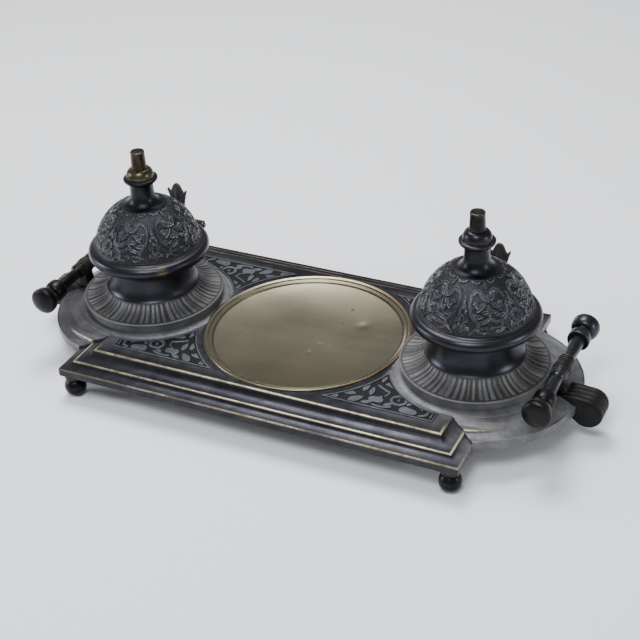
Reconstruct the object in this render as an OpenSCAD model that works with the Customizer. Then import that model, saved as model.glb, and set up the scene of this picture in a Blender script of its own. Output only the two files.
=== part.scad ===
// A double inkwell desk stand. A moulded plate on four ball feet carries two wells with
// hinged domed lids, a brass dish between them, and a turned bar on a scroll at each end.
// X runs along the stand, +Y is the back, and Z is up from the table.

/* [Plate] */
// Length of the rectangular plate
plate_len = 250; // [244:1:256]
// Depth of the plate from front to back
plate_dep = 160; // [156:1:166]
// Height of the plate's bottom edge above the table
foot_h = 15; // [14:0.5:18]
// Radius of the round lobe under each well
lobe_r = 61.5; // [60:0.5:63]

/* [Wells] */
// Distance of each well's axis from the middle
well_x = 105.2; // [105:0.1:108]
// Radius of a well's fluted foot
well_foot_r = 43; // [42:0.1:43.2]
// Radius of the bore that holds the liner
well_bore_r = 22.5; // [21:0.5:23]
// Wall thickness of the liner
liner_wall = 2.5; // [2:0.1:4]

/* [Lids] */
// Radius of the dome
dome_r = 31.8; // [31:0.1:32]
// Distance of the hinge pin behind the well's axis
hinge_y = 39.3; // [39.2:0.1:40]
// Radius of the hinge knuckles
knuckle_r = 2.8; // [2.6:0.1:2.9]

/* [Dish] */
// Radius of the dish over its rim
dish_r = 61.75; // [60:0.25:61.75]
// Depth of the bowl below its rim
dish_depth = 6; // [4:0.5:6.5]

/* [Bars] */
// Distance of each bar behind the end of its lobe
bar_inset = 11.1; // [10:0.1:12]
// Height of a bar's axis above the top of the plate
bar_h = 12.5; // [12:0.5:14]
// Radius of the scroll at the end of each bracket
scroll_r = 9; // [8:0.5:9]

/* [Hidden] */
$fn = 96;

LEFT = -1;
RIGHT = 1;
FRONT = -1;
REAR = 1;

// The plate's moulding, up from its bottom edge: a skirt, a low cove, a ledge and a high cove
skirt_h = 5;
ledge_h = 7.75;
plate_h = 12;
ledge_inset = 6.5;
top_inset = 15.7;
lobe_top_inset = 14.5;
lobe_lift = 2;
edge_lip = 0.6;
plate_top = foot_h + plate_h;
half_len = plate_len / 2;
half_dep = plate_dep / 2;

// The hollow under the plate
skirt_wall = 4.5;
low_roof = foot_h + 2.5;
lobe_roof = low_roof + lobe_lift;
high_roof = foot_h + 8.5;
high_wall = 17;
pan_wall = 6;

// The feet stand under the plate's corners
foot_r = 6.5;
foot_neck_r = 5.7;
foot_centre_z = 6.2;
foot_corner = [6.3, 5.5];
foot_boss_r = 6.2;
foot_stud_r = 2;
foot_stud_z = [foot_centre_z, foot_h + 3.5];

// The raised seat under each well
seat_r = 47;
seat_h = 1;
seat_z = plate_top + seat_h;
dish_clear_r = dish_r + 0.25;

// The wells: a fluted foot, a hollow waist and a flange for the lid to close on
foot_edge_z = seat_z + 5.8;
waist_root = [30, seat_z + 12];
waist_r = 26.2;
waist_z = seat_z + 25;
flange_r = 29;
flange_z = seat_z + 31;
well_top = seat_z + 32.6;
well_floor = seat_z + 3;
well_recess_r = 26.1;
well_recess_z = well_top - 1.5;
well_cavity_r = [26, 38.5];
well_cavity_h = 4.5;
screw_ring_r = 33;
screw_boss_r = 4.6;
screw_r = 1.5;

// The liner stands on the recess below the well's flange
liner_r = well_bore_r - 0.7;
liner_rim_r = 25.7;
liner_rim_t = 2.3;
liner_bottom = well_floor + 2;

// The lid: an ovolo rim under a hollow dome, which is cut flat for the finial
lid_bottom = well_top + 0.3;
rim_r = 36.7;
dome_z = well_top + 4.2;
dome_foot_z = dome_z + 4.2;
lid_top = dome_z + 28.8;
lid_cavity_r = 28.2;
lid_cavity_z = dome_z - 2.3;
nut_face_z = lid_top - 4.4;
nut_boss_r = 6.5;

// The finial: neck, knob and peg on one threaded rod
neck_foot_r = 13.4;
neck_r = 6.7;
neck_top = lid_top + 13.9;
knob_rim_r = 10.2;
knob_top = neck_top + 9.5;
peg_top = knob_top + 10.9;
peg_r = [4.5, 3.9];
rod_r = 2.4;
nut_h = 3;

// The hinge: fixed outer knuckles and a middle one with the lid's crest on it
hinge_z = well_top + 0.4;
hinge_half = 15.5;
middle_half = 5.2;
knuckle_gap = 0.3;
pin_r = 1.2;
pin_clearance = 0.05;
leaf_z = [flange_z - 1.8, flange_z];
leaf_half = 15;
ear_half = 13;
ear_y = 33.5;
leaf_rivet = [8.5, 30.6];
rivet_r = 1.2;
crest_y = [37, 38.8];
crest_h = 27.3;
crest_stem = 4.4;
crest_ear = [6.7, 23.2];
crest_rivet = [2.5, hinge_z + 4.8];

// The dish and the pan in the plate that holds it
dish_t = 1.4;
dish_rim_z = plate_top + 1.2;
dish_flat_r = 58.4;
bowl_r = 57;
dish_floor = dish_rim_z - 0.3 - dish_depth;
pan_r = bowl_r + dish_t + 0.3;
pan_floor = dish_floor - dish_t;
stud_r = 2.5;
stud_bottom = 11.5;
washer_t = 1;

// The bars and their brackets
bar_x = well_x + lobe_r - bar_inset;
bar_z = plate_top + bar_h;
eye_r = 5;
eye_half = 3.4;
spigot_r = 2.4;
spigot_len = 8;
shaft_end = 29;
shaft_r = 4;
ring_r = 4.8;
knob_len = 19.6;
knob_r = 8.2;
stub_r = 2;
stub_len = 7;
scroll_half = 7.5;
scroll_x = well_x + lobe_r + 14.8 - scroll_r;
scroll_z = foot_h + 3;
strap_x = bar_x - 3.5;
post_half = [3.4, 4.2];
bracket_screw_r = 1.6;

// A quarter turn from a to b: hollow starts level and ends upright, the other way round if not
function bend(a, b, hollow, steps = 8) = [
    for (i = [0:steps])
        let (turn = 90 * i / steps, along = hollow ? sin(turn) : 1 - cos(turn),
             up = hollow ? 1 - cos(turn) : sin(turn))
        [a.x + (b.x - a.x) * along, a.y + (b.y - a.y) * up]
];

// An arc of radius r about [0, z], between two angles above the horizontal
function arc(r, z, from, to, steps = 16) = [
    for (i = [0:steps])
        let (angle = from + (to - from) * i / steps)
        [r * cos(angle), z + r * sin(angle)]
];

// The moulded edge, from its bottom to the plate's top, h away from the middle
function moulding(bottom, h, inset) = concat(
    [[h, bottom], [h, bottom + skirt_h]],
    bend([h, bottom + skirt_h], [h - ledge_inset, bottom + ledge_h - edge_lip], true),
    [[h - ledge_inset, bottom + ledge_h], [h - ledge_inset - 2, bottom + ledge_h]],
    bend([h - ledge_inset - 2, bottom + ledge_h], [h - inset, plate_top - edge_lip], true),
    [[h - inset, plate_top]]
);

function both_sides(points) = concat(points, [for (i = [len(points) - 1:-1:0]) [-points[i].x, points[i].y]]);

module at_side(side) {
    translate([side * well_x, 0, 0]) children();
}

module turned(points) {
    rotate_extrude() polygon(points);
}

// Runs its children's Z axis along +Y or -Y from a bar's middle
module along_bar(side, end) {
    translate([side * bar_x, 0, bar_z]) rotate([-90 * end, 0, 0]) children();
}

// ---- Plate, feet and dish ----

module plate_block() {
    intersection() {
        rotate([90, 0, 0])
            linear_extrude(plate_dep, center = true) polygon(both_sides(moulding(foot_h, half_len, top_inset)));
        rotate([90, 0, 90])
            linear_extrude(plate_len, center = true) polygon(both_sides(moulding(foot_h, half_dep, top_inset)));
    }
}

module lobe() {
    bottom = foot_h + lobe_lift;
    turned(concat([[0, bottom]], moulding(bottom, lobe_r, lobe_top_inset), [[0, plate_top]]));
}

module seat() {
    difference() {
        translate([0, 0, plate_top - 1]) cylinder(r = seat_r, h = 1 + seat_h);
        translate([0, 0, plate_top]) difference() {
            cylinder(r = seat_r + 1, h = seat_h + 1);
            cylinder(r1 = seat_r, r2 = seat_r - 1, h = seat_h + 1);
        }
    }
}

module at_corners() {
    for (side = [LEFT, RIGHT], end = [FRONT, REAR])
        translate([side * (half_len - foot_corner.x), end * (half_dep - foot_corner.y), 0]) children();
}

module plate_hollow() {
    low = [plate_len - 2 * skirt_wall, plate_dep - 2 * skirt_wall, low_roof];
    high = [plate_len - 2 * high_wall, plate_dep - 2 * high_wall, high_roof];
    difference() {
        union() {
            translate([-low.x / 2, -low.y / 2, 0]) cube(low);
            translate([-high.x / 2, -high.y / 2, 0]) cube(high);
            for (side = [LEFT, RIGHT]) at_side(side) {
                cylinder(r = lobe_r - skirt_wall, h = lobe_roof);
                cylinder(r = lobe_r - high_wall + 1, h = high_roof);
            }
        }
        translate([0, 0, low_roof]) cylinder(r = pan_r + pan_wall, h = plate_h);
        at_corners() cylinder(r = foot_boss_r, h = plate_top);
    }
}

module at_well_screws() {
    for (turn = [30:120:270]) rotate(turn) translate([screw_ring_r, 0, 0]) children();
}

module stand_base() {
    color("#2c2d33") difference() {
        union() {
            plate_block();
            for (side = [LEFT, RIGHT]) at_side(side) {
                lobe();
                seat();
            }
        }
        plate_hollow();
        translate([0, 0, pan_floor]) cylinder(r = pan_r, h = plate_h);
        translate([0, 0, plate_top]) cylinder(r = dish_clear_r, h = plate_h);
        cylinder(r = stud_r + 0.2, h = plate_top);
        at_corners() translate([0, 0, foot_h - 1]) cylinder(r = foot_stud_r, h = foot_stud_z[1] - foot_h + 1);
        for (side = [LEFT, RIGHT]) {
            at_side(side) at_well_screws() cylinder(r = screw_r, h = plate_top + 5);
            translate([side * bar_x, 0, 0]) cylinder(r = bracket_screw_r, h = plate_top);
        }
    }
}

module foot(side, end) {
    color("#242429")
        translate([side * (half_len - foot_corner.x), end * (half_dep - foot_corner.y), 0])
        difference() {
            union() {
                intersection() {
                    translate([0, 0, foot_centre_z]) sphere(r = foot_r);
                    cylinder(r = foot_r + 1, h = foot_h);
                }
                translate([0, 0, foot_centre_z]) cylinder(r = foot_neck_r - 0.5, h = foot_h - foot_centre_z);
                translate([0, 0, foot_h - 2]) cylinder(r = foot_neck_r, h = 2);
            }
            translate([0, 0, foot_stud_z[0]]) cylinder(r = foot_stud_r, h = foot_h);
        }
}

module foot_studs() {
    color("#7c7c7a") at_corners()
        translate([0, 0, foot_stud_z[0]]) cylinder(r = foot_stud_r, h = foot_stud_z[1] - foot_stud_z[0]);
}

// The bowl's height above its floor grows with the cube of the radius
function bowl(drop, steps = 14) = [
    for (i = [0:steps])
        let (r = bowl_r * i / steps)
        [r, dish_floor - drop + dish_depth * pow(r / bowl_r, 3)]
];

module dish() {
    under = bowl(dish_t);
    color("#8d8561") turned(concat(
        bowl(0),
        [[bowl_r + 0.5, dish_rim_z - 0.1], [dish_flat_r, dish_rim_z - 0.4], [dish_flat_r + 0.4, dish_rim_z]],
        bend([dish_r - 0.9, dish_rim_z], [dish_r, plate_top + 0.5], false, 4),
        [[dish_r - 0.3, plate_top], [pan_r - 0.2, plate_top]],
        [for (i = [len(under) - 1:-1:0]) under[i]]
    ));
}

module dish_stud() {
    color("#8d8561") translate([0, 0, stud_bottom]) cylinder(r = stud_r, h = pan_floor - stud_bottom);
}

module dish_washer() {
    color("#7c7c7a") translate([0, 0, low_roof - washer_t]) difference() {
        cylinder(r = 7, h = washer_t);
        translate([0, 0, -1]) cylinder(r = stud_r + 0.2, h = washer_t + 2);
    }
}

module dish_nut() {
    color("#7c7c7a") translate([0, 0, low_roof - washer_t - nut_h]) difference() {
        cylinder(r = 5.2, h = nut_h, $fn = 6);
        translate([0, 0, -1]) cylinder(r = stud_r, h = nut_h + 2);
    }
}

// ---- Well, liner and hinge, drawn about the well's own axis ----

module well_outside() {
    turned(concat(
        [[0, seat_z], [well_foot_r - 1.6, seat_z], [well_foot_r - 1.6, seat_z + 0.8]],
        [[well_foot_r - 0.6, foot_edge_z - 1.2], [well_foot_r, foot_edge_z - 0.6], [well_foot_r, foot_edge_z]],
        bend([well_foot_r - 0.4, foot_edge_z + 0.3], [waist_root.x, waist_root.y + 2], true, 5),
        bend([waist_root.x - 1, waist_root.y + 2], [waist_r, waist_z], true, 8),
        [[waist_r + 0.3, flange_z - 2], [waist_r + 0.8, flange_z], [flange_r, flange_z], [flange_r, well_top]],
        [[0, well_top]]
    ));
}

// A plate behind the flange that the hinge leaf is riveted to
module ear() {
    translate([-ear_half, 0, flange_z]) cube([2 * ear_half, ear_y, well_top - flange_z]);
}

module well_screw_cavity() {
    difference() {
        translate([0, 0, seat_z - 1]) cylinder(r = well_cavity_r[1], h = well_cavity_h + 1);
        translate([0, 0, seat_z - 2]) cylinder(r = well_cavity_r[0], h = well_cavity_h + 3);
        at_well_screws() translate([0, 0, seat_z - 2]) cylinder(r = screw_boss_r, h = well_cavity_h + 3);
    }
}

module well() {
    color("#2f3036") difference() {
        union() {
            well_outside();
            ear();
        }
        translate([0, 0, well_floor]) cylinder(r = well_bore_r, h = 40);
        translate([0, 0, well_recess_z]) cylinder(r = well_recess_r, h = 10);
        well_screw_cavity();
        at_well_screws() translate([0, 0, seat_z - 1]) cylinder(r = screw_r, h = 5.5);
        for (x = [-leaf_rivet.x, leaf_rivet.x])
            translate([x, leaf_rivet.y, flange_z - 1]) cylinder(r = rivet_r, h = 10);
    }
}

module well_screws() {
    color("#7c7c7a") at_well_screws() {
        translate([0, 0, high_roof - 1.8]) cylinder(r = 2.9, h = 1.8);
        translate([0, 0, high_roof - 1]) cylinder(r = screw_r, h = seat_z + 4.5 - high_roof + 1);
    }
}

module liner() {
    bore = liner_r - liner_wall;
    rim_top = well_recess_z + liner_rim_t;
    liner_floor = liner_bottom + liner_wall;
    color("#e6e3da") turned(concat(
        [[0, liner_bottom], [liner_r - 3, liner_bottom]],
        bend([liner_r - 3, liner_bottom], [liner_r, liner_bottom + 3], true, 4),
        [[liner_r, well_recess_z], [liner_rim_r, well_recess_z], [liner_rim_r, rim_top - 0.8]],
        bend([liner_rim_r, rim_top - 0.8], [liner_rim_r - 0.8, rim_top], false, 3),
        [[bore + 1, rim_top], [bore, rim_top - 1]],
        bend([bore, liner_floor + 4], [bore - 4, liner_floor], false, 4),
        [[0, liner_floor]]
    ));
}

module knuckle(x0, x1, bore) {
    translate([x0, hinge_y, hinge_z]) rotate([0, 90, 0]) difference() {
        cylinder(r = knuckle_r, h = x1 - x0);
        translate([0, 0, -1]) cylinder(r = bore, h = x1 - x0 + 2);
    }
}

module hinge_leaf() {
    inner = middle_half + knuckle_gap;
    color("#2a2b30") difference() {
        union() {
            translate([-leaf_half, 20, leaf_z[0]]) cube([2 * leaf_half, hinge_y + 1.5 - 20, leaf_z[1] - leaf_z[0]]);
            for (x0 = [-hinge_half, inner]) {
                knuckle(x0, x0 + hinge_half - inner, pin_r);
                translate([max(x0, -leaf_half), hinge_y - 1.5, leaf_z[0]])
                    cube([leaf_half - inner, 3, hinge_z - pin_r - 0.3 - leaf_z[0]]);
            }
        }
        translate([0, 0, leaf_z[0] - 1]) cylinder(r = waist_r + 0.9, h = 10);
        translate([-inner, hinge_y - knuckle_r - 0.8, leaf_z[0] - 1]) cube([2 * inner, 20, 10]);
        for (x = [-leaf_rivet.x, leaf_rivet.x])
            translate([x, leaf_rivet.y, leaf_z[0] - 1]) cylinder(r = rivet_r, h = 10);
    }
}

module leaf_rivets() {
    color("#2a2b30") for (x = [-leaf_rivet.x, leaf_rivet.x]) translate([x, leaf_rivet.y, leaf_z[0]]) {
        cylinder(r = rivet_r, h = well_top - leaf_z[0]);
        translate([0, 0, -1]) cylinder(r1 = 1.4, r2 = 2.1, h = 1);
    }
}

module hinge_pin() {
    color("#55503f") {
        translate([-hinge_half - 0.5, hinge_y, hinge_z]) rotate([0, 90, 0]) cylinder(r = pin_r, h = 2 * hinge_half + 1);
        for (end = [-1, 1]) translate([end * hinge_half, hinge_y, hinge_z]) rotate([0, 90 * end, 0])
            turned(concat([[0, 0]], [[2.2, 0]], bend([2.2, 0.3], [0, 1.8], false, 5)));
    }
}

// ---- Lid and finial ----

module lid_outside() {
    turned(concat(
        [[0, lid_bottom], [30.2, lid_bottom], [rim_r - 0.7, lid_bottom + 1.4], [rim_r - 0.3, lid_bottom + 1.8]],
        [[rim_r - 0.1, lid_bottom + 2.2]],
        bend([rim_r, lid_bottom + 3.2], [33.2, dome_foot_z - 1.2], false),
        [[32.5, dome_foot_z - 0.9], [32, dome_foot_z - 0.3]],
        arc(dome_r, dome_z, asin((dome_foot_z - dome_z) / dome_r), asin((lid_top - dome_z) / dome_r)),
        [[0, lid_top]]
    ));
}

module lid() {
    cavity = arc(lid_cavity_r, lid_cavity_z, 0, acos(nut_boss_r / lid_cavity_r));
    color("#2f3036") difference() {
        lid_outside();
        turned(concat(
            [[0, lid_bottom - 1], [lid_cavity_r, lid_bottom - 1]],
            cavity,
            [[nut_boss_r, nut_face_z], [0, nut_face_z]]
        ));
        cylinder(r = rod_r, h = 200);
        for (x = [-crest_rivet.x, crest_rivet.x])
            translate([x, crest_y[0] - 3.5, crest_rivet.y]) rotate([-90, 0, 0]) cylinder(r = 0.9, h = 5);
    }
}

// The thumb crest's outline, up from the hinge: a stem that flares into two pointed ears,
// with an arched lobe between them
module crest_outline() {
    polygon(both_sides([
        [crest_stem, 0], [crest_stem - 0.4, 10], [crest_stem + 0.5, 16], [crest_ear.x, crest_ear.y - 0.8],
        [crest_ear.x - 0.2, crest_ear.y], [crest_ear.x - 0.9, crest_ear.y - 0.1],
        [crest_ear.x - 2.2, crest_ear.y - 2], [3.2, crest_h - 3.3], [2.2, crest_h - 1.3],
        [1, crest_h - 0.2], [0, crest_h]
    ]));
}

module lid_crest() {
    color("#25262a") difference() {
        union() {
            knuckle(-middle_half, middle_half, pin_r + pin_clearance);
            difference() {
                translate([0, crest_y[1], hinge_z]) rotate([90, 0, 0])
                    linear_extrude(crest_y[1] - crest_y[0]) crest_outline();
                translate([-20, hinge_y, hinge_z]) rotate([0, 90, 0]) cylinder(r = pin_r + 0.6, h = 40);
            }
            translate([-crest_stem, 34, hinge_z + 2.2]) cube([2 * crest_stem, crest_y[1] - 34, 4.8]);
        }
        lid_outside();
        for (x = [-crest_rivet.x, crest_rivet.x])
            translate([x, 30, crest_rivet.y]) rotate([-90, 0, 0]) cylinder(r = 0.9, h = 10);
    }
}

module crest_rivets() {
    color("#55503f") for (x = [-crest_rivet.x, crest_rivet.x])
        translate([x, crest_y[0] - 3.5, crest_rivet.y]) rotate([-90, 0, 0]) {
            cylinder(r = 0.9, h = crest_y[1] - crest_y[0] + 3.5);
            translate([0, 0, crest_y[1] - crest_y[0] + 3.5]) cylinder(r1 = 1.7, r2 = 1.1, h = 0.8);
        }
}

module lid_neck() {
    color("#292a30") turned(concat(
        [[rod_r, lid_top], [neck_foot_r, lid_top], [neck_foot_r, lid_top + 0.6]],
        bend([neck_foot_r - 0.6, lid_top + 0.9], [neck_r, lid_top + 8], true),
        [[neck_r, neck_top - 0.8], [neck_r + 0.4, neck_top], [rod_r, neck_top]]
    ));
}

module lid_knob() {
    color("#35322c") turned(concat(
        [[rod_r, neck_top], [neck_r + 0.4, neck_top], [neck_r + 1, neck_top + 0.9]],
        bend([neck_r + 1.4, neck_top + 1.3], [knob_rim_r, neck_top + 2.9], true, 4),
        [[knob_rim_r, neck_top + 3.7], [knob_rim_r - 0.5, neck_top + 4.3], [knob_rim_r - 0.9, neck_top + 4.4]],
        bend([knob_rim_r - 1, neck_top + 4.6], [5.2, knob_top], false, 6),
        [[rod_r, knob_top]]
    ));
}

module lid_peg() {
    rod_bottom = nut_face_z - nut_h - 1;
    color("#5d5340") turned([
        [0, rod_bottom], [rod_r, rod_bottom], [rod_r, knob_top], [peg_r[0], knob_top], [peg_r[1], peg_top - 0.5],
        [peg_r[1] - 0.5, peg_top], [0, peg_top]
    ]);
}

module lid_nut() {
    color("#7c7c7a") translate([0, 0, nut_face_z - nut_h]) difference() {
        cylinder(r = 4.8, h = nut_h, $fn = 6);
        translate([0, 0, -1]) cylinder(r = rod_r, h = nut_h + 2);
    }
}

// ---- Bars and their brackets ----

// Side view of the bracket's strap and web, x from the scroll's axis and y up from the table
module strap_outline(side) {
    top = scroll_z + scroll_r;
    inner = strap_x - scroll_x;
    mirror([side == LEFT ? 1 : 0, 0]) translate([scroll_x, 0]) polygon([
        [inner, plate_top - 5], [inner + 1, plate_top - 0.6], [inner + 8, plate_top + 0.5],
        [inner + 15, top - 0.3], [0, top], [0, scroll_z - scroll_r], [-5, scroll_z - scroll_r + 2],
        [-10, foot_h + lobe_lift - 0.8], [-11, foot_h + 5], [-11, foot_h + 8]
    ]);
}

module scroll(side) {
    color("#2a2b30") difference() {
        union() {
            rotate([90, 0, 0]) linear_extrude(2 * scroll_half, center = true) strap_outline(side);
            translate([side * scroll_x, 0, scroll_z]) rotate([90, 0, 0])
                cylinder(r = scroll_r, h = 2 * scroll_half, center = true);
            translate([side * bar_x - post_half.x, -post_half.y, foot_h + 5])
                cube([2 * post_half.x, 2 * post_half.y, bar_z - foot_h - 5]);
            translate([side * bar_x, 0, bar_z]) rotate([90, 0, 0])
                cylinder(r = eye_r, h = 2 * eye_half, center = true);
        }
        at_side(side) lobe();
        translate([side * bar_x, 0, bar_z]) rotate([90, 0, 0]) cylinder(r = spigot_r, h = 40, center = true);
        for (end = [FRONT, REAR]) translate([side * bar_x, end * (eye_half + 5), bar_z]) rotate([90, 0, 0])
            cylinder(r = ring_r + 0.4, h = 10, center = true);
        translate([side * bar_x, 0, 0]) cylinder(r = bracket_screw_r, h = bar_z - 7);
    }
}

module scroll_screw(side) {
    color("#7c7c7a") translate([side * bar_x, 0, 0]) {
        translate([0, 0, lobe_roof - 1.8]) cylinder(r = 3, h = 1.8);
        translate([0, 0, lobe_roof - 1]) cylinder(r = bracket_screw_r, h = bar_z - 7.5 - lobe_roof + 1);
    }
}

// Half of a turned bar, out from the eye: three rings, a swelling shaft and a stub for the knob
function bar_outside() = concat(
    [[ring_r - 0.8, eye_half]],
    [for (ring = [0:2]) each [[ring_r, eye_half + 0.4 + 1.9 * ring], [ring_r, eye_half + 1.3 + 1.9 * ring],
                              [ring_r - 0.9, eye_half + 1.7 + 1.9 * ring]]],
    [for (i = [0:6]) [shaft_r - 0.5 + 0.5 * sin(30 * i), 10.5 + (shaft_end - 11.5) * i / 6]],
    [[shaft_r, shaft_end], [stub_r, shaft_end], [stub_r, shaft_end + stub_len], [0, shaft_end + stub_len]]
);

module bar_front(side) {
    spigot_end = -eye_half - spigot_len;
    color("#2d2d31") along_bar(side, FRONT)
        turned(concat([[0, spigot_end], [spigot_r, spigot_end], [spigot_r, eye_half]], bar_outside()));
}

module bar_rear(side) {
    socket_end = eye_half + spigot_len + 0.3;
    color("#2d2d31") along_bar(side, REAR)
        turned(concat([[0, socket_end], [spigot_r, socket_end], [spigot_r, eye_half]], bar_outside()));
}

// A turned knob: a collar, a pinched waist and a mushroom end
module bar_knob(side, end) {
    color("#2d2d31") along_bar(side, end) translate([0, 0, shaft_end]) turned(concat(
        [[0, stub_len], [stub_r, stub_len], [stub_r, 0], [6.1, 0], [6.4, 0.6], [6.5, 3]],
        bend([6.5, 3], [4.2, 8.2], false, 5),
        [[4.7, 8.6], [4.7, 9.3]],
        bend([5, 9.5], [knob_r, 16], true, 5),
        [[knob_r, 17.2], [knob_r - 0.6, 17.9], [knob_r - 3, knob_len - 0.6], [0, knob_len]]
    ));
}

stand_base();
foot(LEFT, FRONT);  // foot_front_left
foot(RIGHT, FRONT);  // foot_front_right
foot(LEFT, REAR);  // foot_rear_left
foot(RIGHT, REAR);  // foot_rear_right
foot_studs();
dish();
dish_stud();
dish_washer();
dish_nut();
at_side(LEFT) well();  // left_well
at_side(LEFT) well_screws();  // left_well_screws
at_side(LEFT) liner();  // left_liner
at_side(LEFT) hinge_leaf();  // left_hinge_leaf
at_side(LEFT) leaf_rivets();  // left_leaf_rivets
at_side(LEFT) hinge_pin();  // left_hinge_pin
at_side(LEFT) lid();  // left_lid
at_side(LEFT) lid_crest();  // left_lid_crest
at_side(LEFT) crest_rivets();  // left_crest_rivets
at_side(LEFT) lid_neck();  // left_lid_neck
at_side(LEFT) lid_knob();  // left_lid_knob
at_side(LEFT) lid_peg();  // left_lid_peg
at_side(LEFT) lid_nut();  // left_lid_nut
scroll(LEFT);  // left_scroll
scroll_screw(LEFT);  // left_scroll_screw
bar_front(LEFT);  // left_bar_front
bar_rear(LEFT);  // left_bar_rear
bar_knob(LEFT, FRONT);  // left_front_knob
bar_knob(LEFT, REAR);  // left_rear_knob
at_side(RIGHT) well();  // right_well
at_side(RIGHT) well_screws();  // right_well_screws
at_side(RIGHT) liner();  // right_liner
at_side(RIGHT) hinge_leaf();  // right_hinge_leaf
at_side(RIGHT) leaf_rivets();  // right_leaf_rivets
at_side(RIGHT) hinge_pin();  // right_hinge_pin
at_side(RIGHT) lid();  // right_lid
at_side(RIGHT) lid_crest();  // right_lid_crest
at_side(RIGHT) crest_rivets();  // right_crest_rivets
at_side(RIGHT) lid_neck();  // right_lid_neck
at_side(RIGHT) lid_knob();  // right_lid_knob
at_side(RIGHT) lid_peg();  // right_lid_peg
at_side(RIGHT) lid_nut();  // right_lid_nut
scroll(RIGHT);  // right_scroll
scroll_screw(RIGHT);  // right_scroll_screw
bar_front(RIGHT);  // right_bar_front
bar_rear(RIGHT);  // right_bar_rear
bar_knob(RIGHT, FRONT);  // right_front_knob
bar_knob(RIGHT, REAR);  // right_rear_knob
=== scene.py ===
import math

import bmesh
import bpy
import numpy as np
from mathutils import Matrix, Vector


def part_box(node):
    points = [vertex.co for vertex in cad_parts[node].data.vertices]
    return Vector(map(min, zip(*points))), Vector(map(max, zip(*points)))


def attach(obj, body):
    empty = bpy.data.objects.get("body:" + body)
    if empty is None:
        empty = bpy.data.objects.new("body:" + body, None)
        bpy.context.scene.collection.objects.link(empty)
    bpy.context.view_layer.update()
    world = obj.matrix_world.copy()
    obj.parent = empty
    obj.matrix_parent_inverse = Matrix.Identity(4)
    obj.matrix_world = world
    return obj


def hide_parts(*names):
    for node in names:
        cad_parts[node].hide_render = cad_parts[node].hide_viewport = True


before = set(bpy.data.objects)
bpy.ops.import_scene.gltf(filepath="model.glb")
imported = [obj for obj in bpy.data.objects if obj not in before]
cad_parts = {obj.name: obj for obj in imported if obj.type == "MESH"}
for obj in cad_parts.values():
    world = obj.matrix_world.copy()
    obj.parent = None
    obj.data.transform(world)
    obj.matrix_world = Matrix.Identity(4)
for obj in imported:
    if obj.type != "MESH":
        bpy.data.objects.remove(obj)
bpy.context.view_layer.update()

# The pieces are in millimetres, which new_object() turns into metres. The camera, the lights, the floor
# and the materials are in metres.
MM = 0.001
TINY = 1e-9
SIDES = {"left": -1, "right": 1}
ENDS = {"front": -1, "rear": 1}


def corners(node):
    """Lowest and highest corner of a CAD node, in millimetres."""
    low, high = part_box(node)
    return np.array(low) / MM, np.array(high) / MM


def middle(node):
    low, high = corners(node)
    return (low + high) / 2


PLATE_LOW, PLATE_HIGH = corners("stand_base")
WELL_LOW, WELL_HIGH = corners("right_well")
LID_LOW, LID_HIGH = corners("right_lid")
DISH_LOW, DISH_HIGH = corners("dish")
WELL_X = (LID_LOW[0] + LID_HIGH[0]) / 2
LOBE_R = PLATE_HIGH[0] - WELL_X
SEAT_Z = PLATE_HIGH[2]
PLATE_TOP = SEAT_Z - 1
PLATE_BOTTOM = PLATE_LOW[2]
FOOT_X = middle("foot_front_right")[0]
FOOT_Y = -middle("foot_front_right")[1]
HALF_LEN = FOOT_X + 6.3
HALF_DEP = PLATE_HIGH[1]
WELL_R = (corners("right_well")[1] - corners("right_well")[0])[0] / 2
DISH_R = DISH_HIGH[0]
RIM_R = (LID_HIGH[0] - LID_LOW[0]) / 2
BAR_X = middle("right_bar_front")[0]
BAR_Z = middle("right_bar_front")[2]


# ---- Camera, floor and light ----

def make_camera():
    azimuth, elevation, roll = (math.radians(a) for a in (26.895, 32.826, 3.088))
    camera = bpy.data.objects.new("camera", bpy.data.cameras.new("camera"))
    camera.data.sensor_width = 36
    camera.data.lens = 80.08
    camera.data.clip_start = 0.05
    right = Vector((math.cos(azimuth), math.sin(azimuth), 0))
    back = Vector((math.sin(azimuth) * math.cos(elevation), -math.cos(azimuth) * math.cos(elevation),
                   math.sin(elevation)))
    up = back.cross(right)
    turned_right = right * math.cos(roll) - up * math.sin(roll)
    turned_up = right * math.sin(roll) + up * math.cos(roll)
    target, distance = Vector((-0.00653, 0.02965, 0.01544)), 0.8771
    place = Matrix((turned_right, turned_up, back)).transposed().to_4x4()
    place.translation = target + back * distance
    camera.matrix_world = place
    bpy.context.scene.collection.objects.link(camera)
    bpy.context.scene.camera = camera


def area_light(name, place, aim, size, power, colour):
    data = bpy.data.lights.new(name, "AREA")
    data.shape = "DISK"
    data.size = size
    data.energy = power
    data.color = colour
    light = bpy.data.objects.new(name, data)
    light.location = place
    light.rotation_mode = "QUATERNION"
    light.rotation_quaternion = (Vector(aim) - Vector(place)).to_track_quat("-Z", "Y")
    bpy.context.scene.collection.objects.link(light)


def make_lights():
    aim = (0, 0, 0.03)
    area_light("overhead", (-0.26, 0.36, 1.12), aim, 0.6, 15.5, (0.95, 0.97, 1))
    area_light("front", (0.12, -0.60, 1.02), aim, 0.45, 8, (0.88, 0.93, 1))
    area_light("low_left", (-1.1, -0.36, 0.36), aim, 0.4, 6.5, (0.92, 0.95, 1))
    area_light("low_right", (1.1, 0.05, 0.36), aim, 0.35, 3.2, (0.92, 0.95, 1))
    area_light("low_back", (-1.3, 1.2, 0.15), aim, 0.6, 2, (1, 0.99, 0.97))
    world = bpy.data.worlds.new("studio")
    world.use_nodes = True
    world.node_tree.nodes["Background"].inputs["Color"].default_value = (0.9, 0.92, 0.95, 1)
    world.node_tree.nodes["Background"].inputs["Strength"].default_value = 0.38
    bpy.context.scene.world = world


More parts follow.
